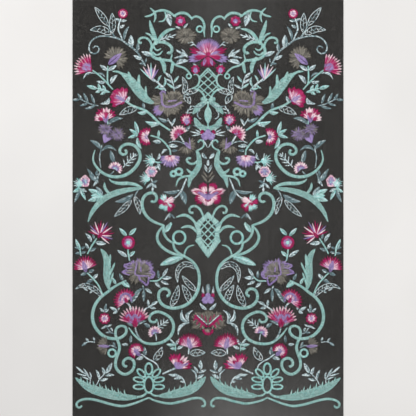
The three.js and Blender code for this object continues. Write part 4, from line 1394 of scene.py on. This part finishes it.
def ramp_of(tree, factor, stops):
    """A colour ramp over the given stops."""
    node = add(tree, "ShaderNodeValToRGB", i0=factor)
    ramp = node.color_ramp
    while len(ramp.elements) < len(stops):
        ramp.elements.new(0.5)
    for element, (place, colour) in zip(ramp.elements, stops):
        element.position = place
        element.color = linear(colour)
    return node.outputs[0]


def rayon_thread(name, tones):
    """Twisted rayon embroidery thread: a soft gloss, single stitches lighter and darker than their
    neighbours, and a fine slanted twist along each of them."""
    material, tree, place = blank(name)
    shade = add(tree, "ShaderNodeAttribute", {"attribute_name": "shade"}).outputs["Fac"]
    # Patches where the dye took more or less.
    patch = add(tree, "ShaderNodeTexNoise", Vector=place, Scale=1 / (DYE_PATCH * MM), Detail=2.0)
    mixed = add(tree, "ShaderNodeMath", {"operation": "MULTIPLY_ADD"}, i0=patch.outputs[0], i1=0.5,
                i2=-0.25)
    tone = add(tree, "ShaderNodeMath", {"operation": "ADD", "use_clamp": True}, i0=shade,
               i1=mixed.outputs[0]).outputs[0]
    colour = ramp_of(tree, tone, [(0.0, tones[0]), (0.5, tones[1]), (1.0, tones[2])])
    # The twist is drawn as coarse as the thread is.
    uv = add(tree, "ShaderNodeUVMap", {"uv_map": "stitch"}).outputs[0]
    along = add(tree, "ShaderNodeVectorMath", {"operation": "DOT_PRODUCT"}, i0=uv,
                i1=(math.tau / (TWIST_TURN * MM), 5.0, 0.0))
    twist = add(tree, "ShaderNodeMath", {"operation": "SINE"}, i0=along.outputs["Value"]).outputs[0]
    bump = add(tree, "ShaderNodeBump", Strength=0.5, Distance=0.00006, Height=twist).outputs[0]
    shader = add(tree, "ShaderNodeBsdfPrincipled", Base_Color=colour, Roughness=0.42, IOR=1.47,
                 Normal=bump)
    add(tree, "ShaderNodeOutputMaterial", Surface=shader.outputs[0])
    return material


def nylon_tulle(name):
    """Fine nylon hexagon net, dyed nearly black: matt dark yarn, with the floor showing faintly through
    its even small holes, and round pools of painted light and shade where more or less of the floor
    shows through."""
    material, tree, place = blank(name)

    def plus(one, other):
        return add(tree, "ShaderNodeMath", {"operation": "ADD"}, i0=one, i1=other).outputs[0]

    def patches(scale, amount, stretch=(1.0, 1.0, 1.0)):
        """Soft patches around nought, drawn out by stretch."""
        spread = add(tree, "ShaderNodeVectorMath", {"operation": "MULTIPLY"}, i0=place, i1=stretch)
        noise = add(tree, "ShaderNodeTexNoise", Vector=spread.outputs[0], Scale=scale, Detail=2.0,
                    Roughness=0.6)
        return add(tree, "ShaderNodeMath", {"operation": "MULTIPLY_ADD"}, i0=noise.outputs[0],
                   i1=amount, i2=-amount / 2).outputs[0]

    def spot(middle, radius, amount):
        """A round soft pool of painted light, where the holes open wider and more floor shows through,
        or painted shade where the amount is below nought.
        """
        far = add(tree, "ShaderNodeVectorMath", {"operation": "DISTANCE"}, i0=place, i1=middle)
        return add(tree, "ShaderNodeMapRange", {"interpolation_type": "SMOOTHSTEP"},
                   Value=far.outputs["Value"], From_Min=0.0, From_Max=radius, To_Min=amount,
                   To_Max=0.0).outputs[0]

    # Holes in three ways at 60 degrees.
    count = 4 * math.pi / (math.sqrt(3) * MESH_PITCH * MM)
    comb = 0.0
    for angle in (0, 60, 120):
        way = (count * math.cos(math.radians(angle)), count * math.sin(math.radians(angle)), 0)
        dot = add(tree, "ShaderNodeVectorMath", {"operation": "DOT_PRODUCT"}, i0=place, i1=way)
        wave = add(tree, "ShaderNodeMath", {"operation": "COSINE"}, i0=dot.outputs["Value"])
        comb = plus(wave.outputs[0], comb)
    # Broad patches, drawn yarns that run up the panel, and a grain of 3 mm.
    level = plus(comb, patches(5.0, 0.5))
    level = plus(level, patches(9.0, 0.7, (9.0, 0.35, 1.0)))
    level = plus(level, patches(300.0, 1.5))
    # Round pools of painted light and shade: the holes open wider or close up there.
    for row in PAINTED_LIGHT_POOLS:
        level = plus(level, spot((row.x * MM, row.y * MM, 0.0), row.radius * MM, row.amount))
    hole = add(tree, "ShaderNodeMapRange", {"interpolation_type": "SMOOTHSTEP"}, Value=level,
               From_Min=1.15, From_Max=2.5, To_Min=0.0, To_Max=0.9).outputs[0]
    # Lighter and darker yarns, in flecks of about 2.4 mm.
    fleck = add(tree, "ShaderNodeTexNoise", Vector=place, Scale=420.0, Detail=1.0).outputs[0]
    colour = ramp_of(tree, fleck, [(0.3, "#131210"), (0.5, "#211f1d"), (0.75, "#45433f")])
    bump = add(tree, "ShaderNodeBump", {"invert": True}, Strength=0.6, Distance=0.0002,
               Height=comb).outputs[0]
    # Less gloss than solid nylon has, as much of it is lost between the yarns.
    yarn = add(tree, "ShaderNodeBsdfPrincipled", Base_Color=colour, Roughness=0.7, IOR=1.53,
               Specular_IOR_Level=0.3, Normal=bump)
    clear = add(tree, "ShaderNodeBsdfTransparent")
    mixed = add(tree, "ShaderNodeMixShader", i0=hole, i1=yarn.outputs[0], i2=clear.outputs[0])
    add(tree, "ShaderNodeOutputMaterial", Surface=mixed.outputs[0])
    return material


def pale_floor(name):
    """Matt pale studio floor, with a barely uneven tone."""
    material, tree, place = blank(name)
    patch = add(tree, "ShaderNodeTexNoise", Vector=place, Scale=3.0, Detail=2.0).outputs[0]
    colour = ramp_of(tree, patch, [(0.3, "#dfddda"), (0.7, "#e5e3e0")])
    shader = add(tree, "ShaderNodeBsdfPrincipled", Base_Color=colour, Roughness=0.85)
    add(tree, "ShaderNodeOutputMaterial", Surface=shader.outputs[0])
    return material


# ---- making the pieces
sew_all()
net = net_sheet()
net.data.materials.append(nylon_tulle("dyed_nylon_tulle"))
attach(net, "root")
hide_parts("tulle_ground")

for thread, tones in THREADS.items():
    finish = rayon_thread(f"{thread}_rayon_thread", tones)
    mine = [row for row in SEWN if row.thread == thread]
    start, end, level, broad = (np.concatenate([getattr(row, what) for row in mine])
                                for what in ("start", "end", "level", "broad"))
    nodes = np.concatenate([[row.node or ""] * len(row.start) for row in mine])
    upper = (start[:, 1] + end[:, 1]) / 2 >= 0
    for word, took in (("upper", upper), ("lower", ~upper)):
        piece = thread_mesh(f"{thread}_{word}", start[took], end[took], level[took], broad[took])
        piece.data.materials.append(finish)
        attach(piece, "root")
        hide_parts(*sorted(set(nodes[took]) - {""}))

# ---- floor, light and camera
floor_mesh = bpy.data.meshes.new("studio_floor")
bm = bmesh.new()
bmesh.ops.create_grid(bm, x_segments=1, y_segments=1, size=8)
bm.to_mesh(floor_mesh)
bm.free()
floor_mesh.materials.append(pale_floor("matt_pale_floor"))
floor = place_piece("studio_floor", floor_mesh)

world = bpy.data.worlds.new("studio_air")
world.use_nodes = True
world.node_tree.nodes["Background"].inputs[0].default_value = linear("#f2f2f4")
world.node_tree.nodes["Background"].inputs[1].default_value = 0.5
bpy.context.scene.world = world

for row in table(Lamp, """
# name place size power
key_softbox -1.3,1.0,1.9 1.2 26
fill_softbox 1.5,-0.6,1.8 1.4 20
top_softbox 0.3,1.6,1.4 1.0 9
"""):
    lamp = bpy.data.lights.new(row.name, "AREA")
    lamp.size = row.size
    lamp.energy = row.power
    holder = place_piece(row.name, lamp)
    holder.location = row.place
    holder.rotation_euler = Vector(row.place).to_track_quat("Z", "Y").to_euler()

camera = bpy.data.cameras.new("photo_camera")
camera.lens = LENS
camera.sensor_width = SENSOR
eye = place_piece("photo_camera", camera)
eye.location = (0, 0, VIEW_WIDE * LENS / SENSOR)
bpy.context.scene.camera = eye
bpy.context.scene.view_settings.view_transform = "Standard"
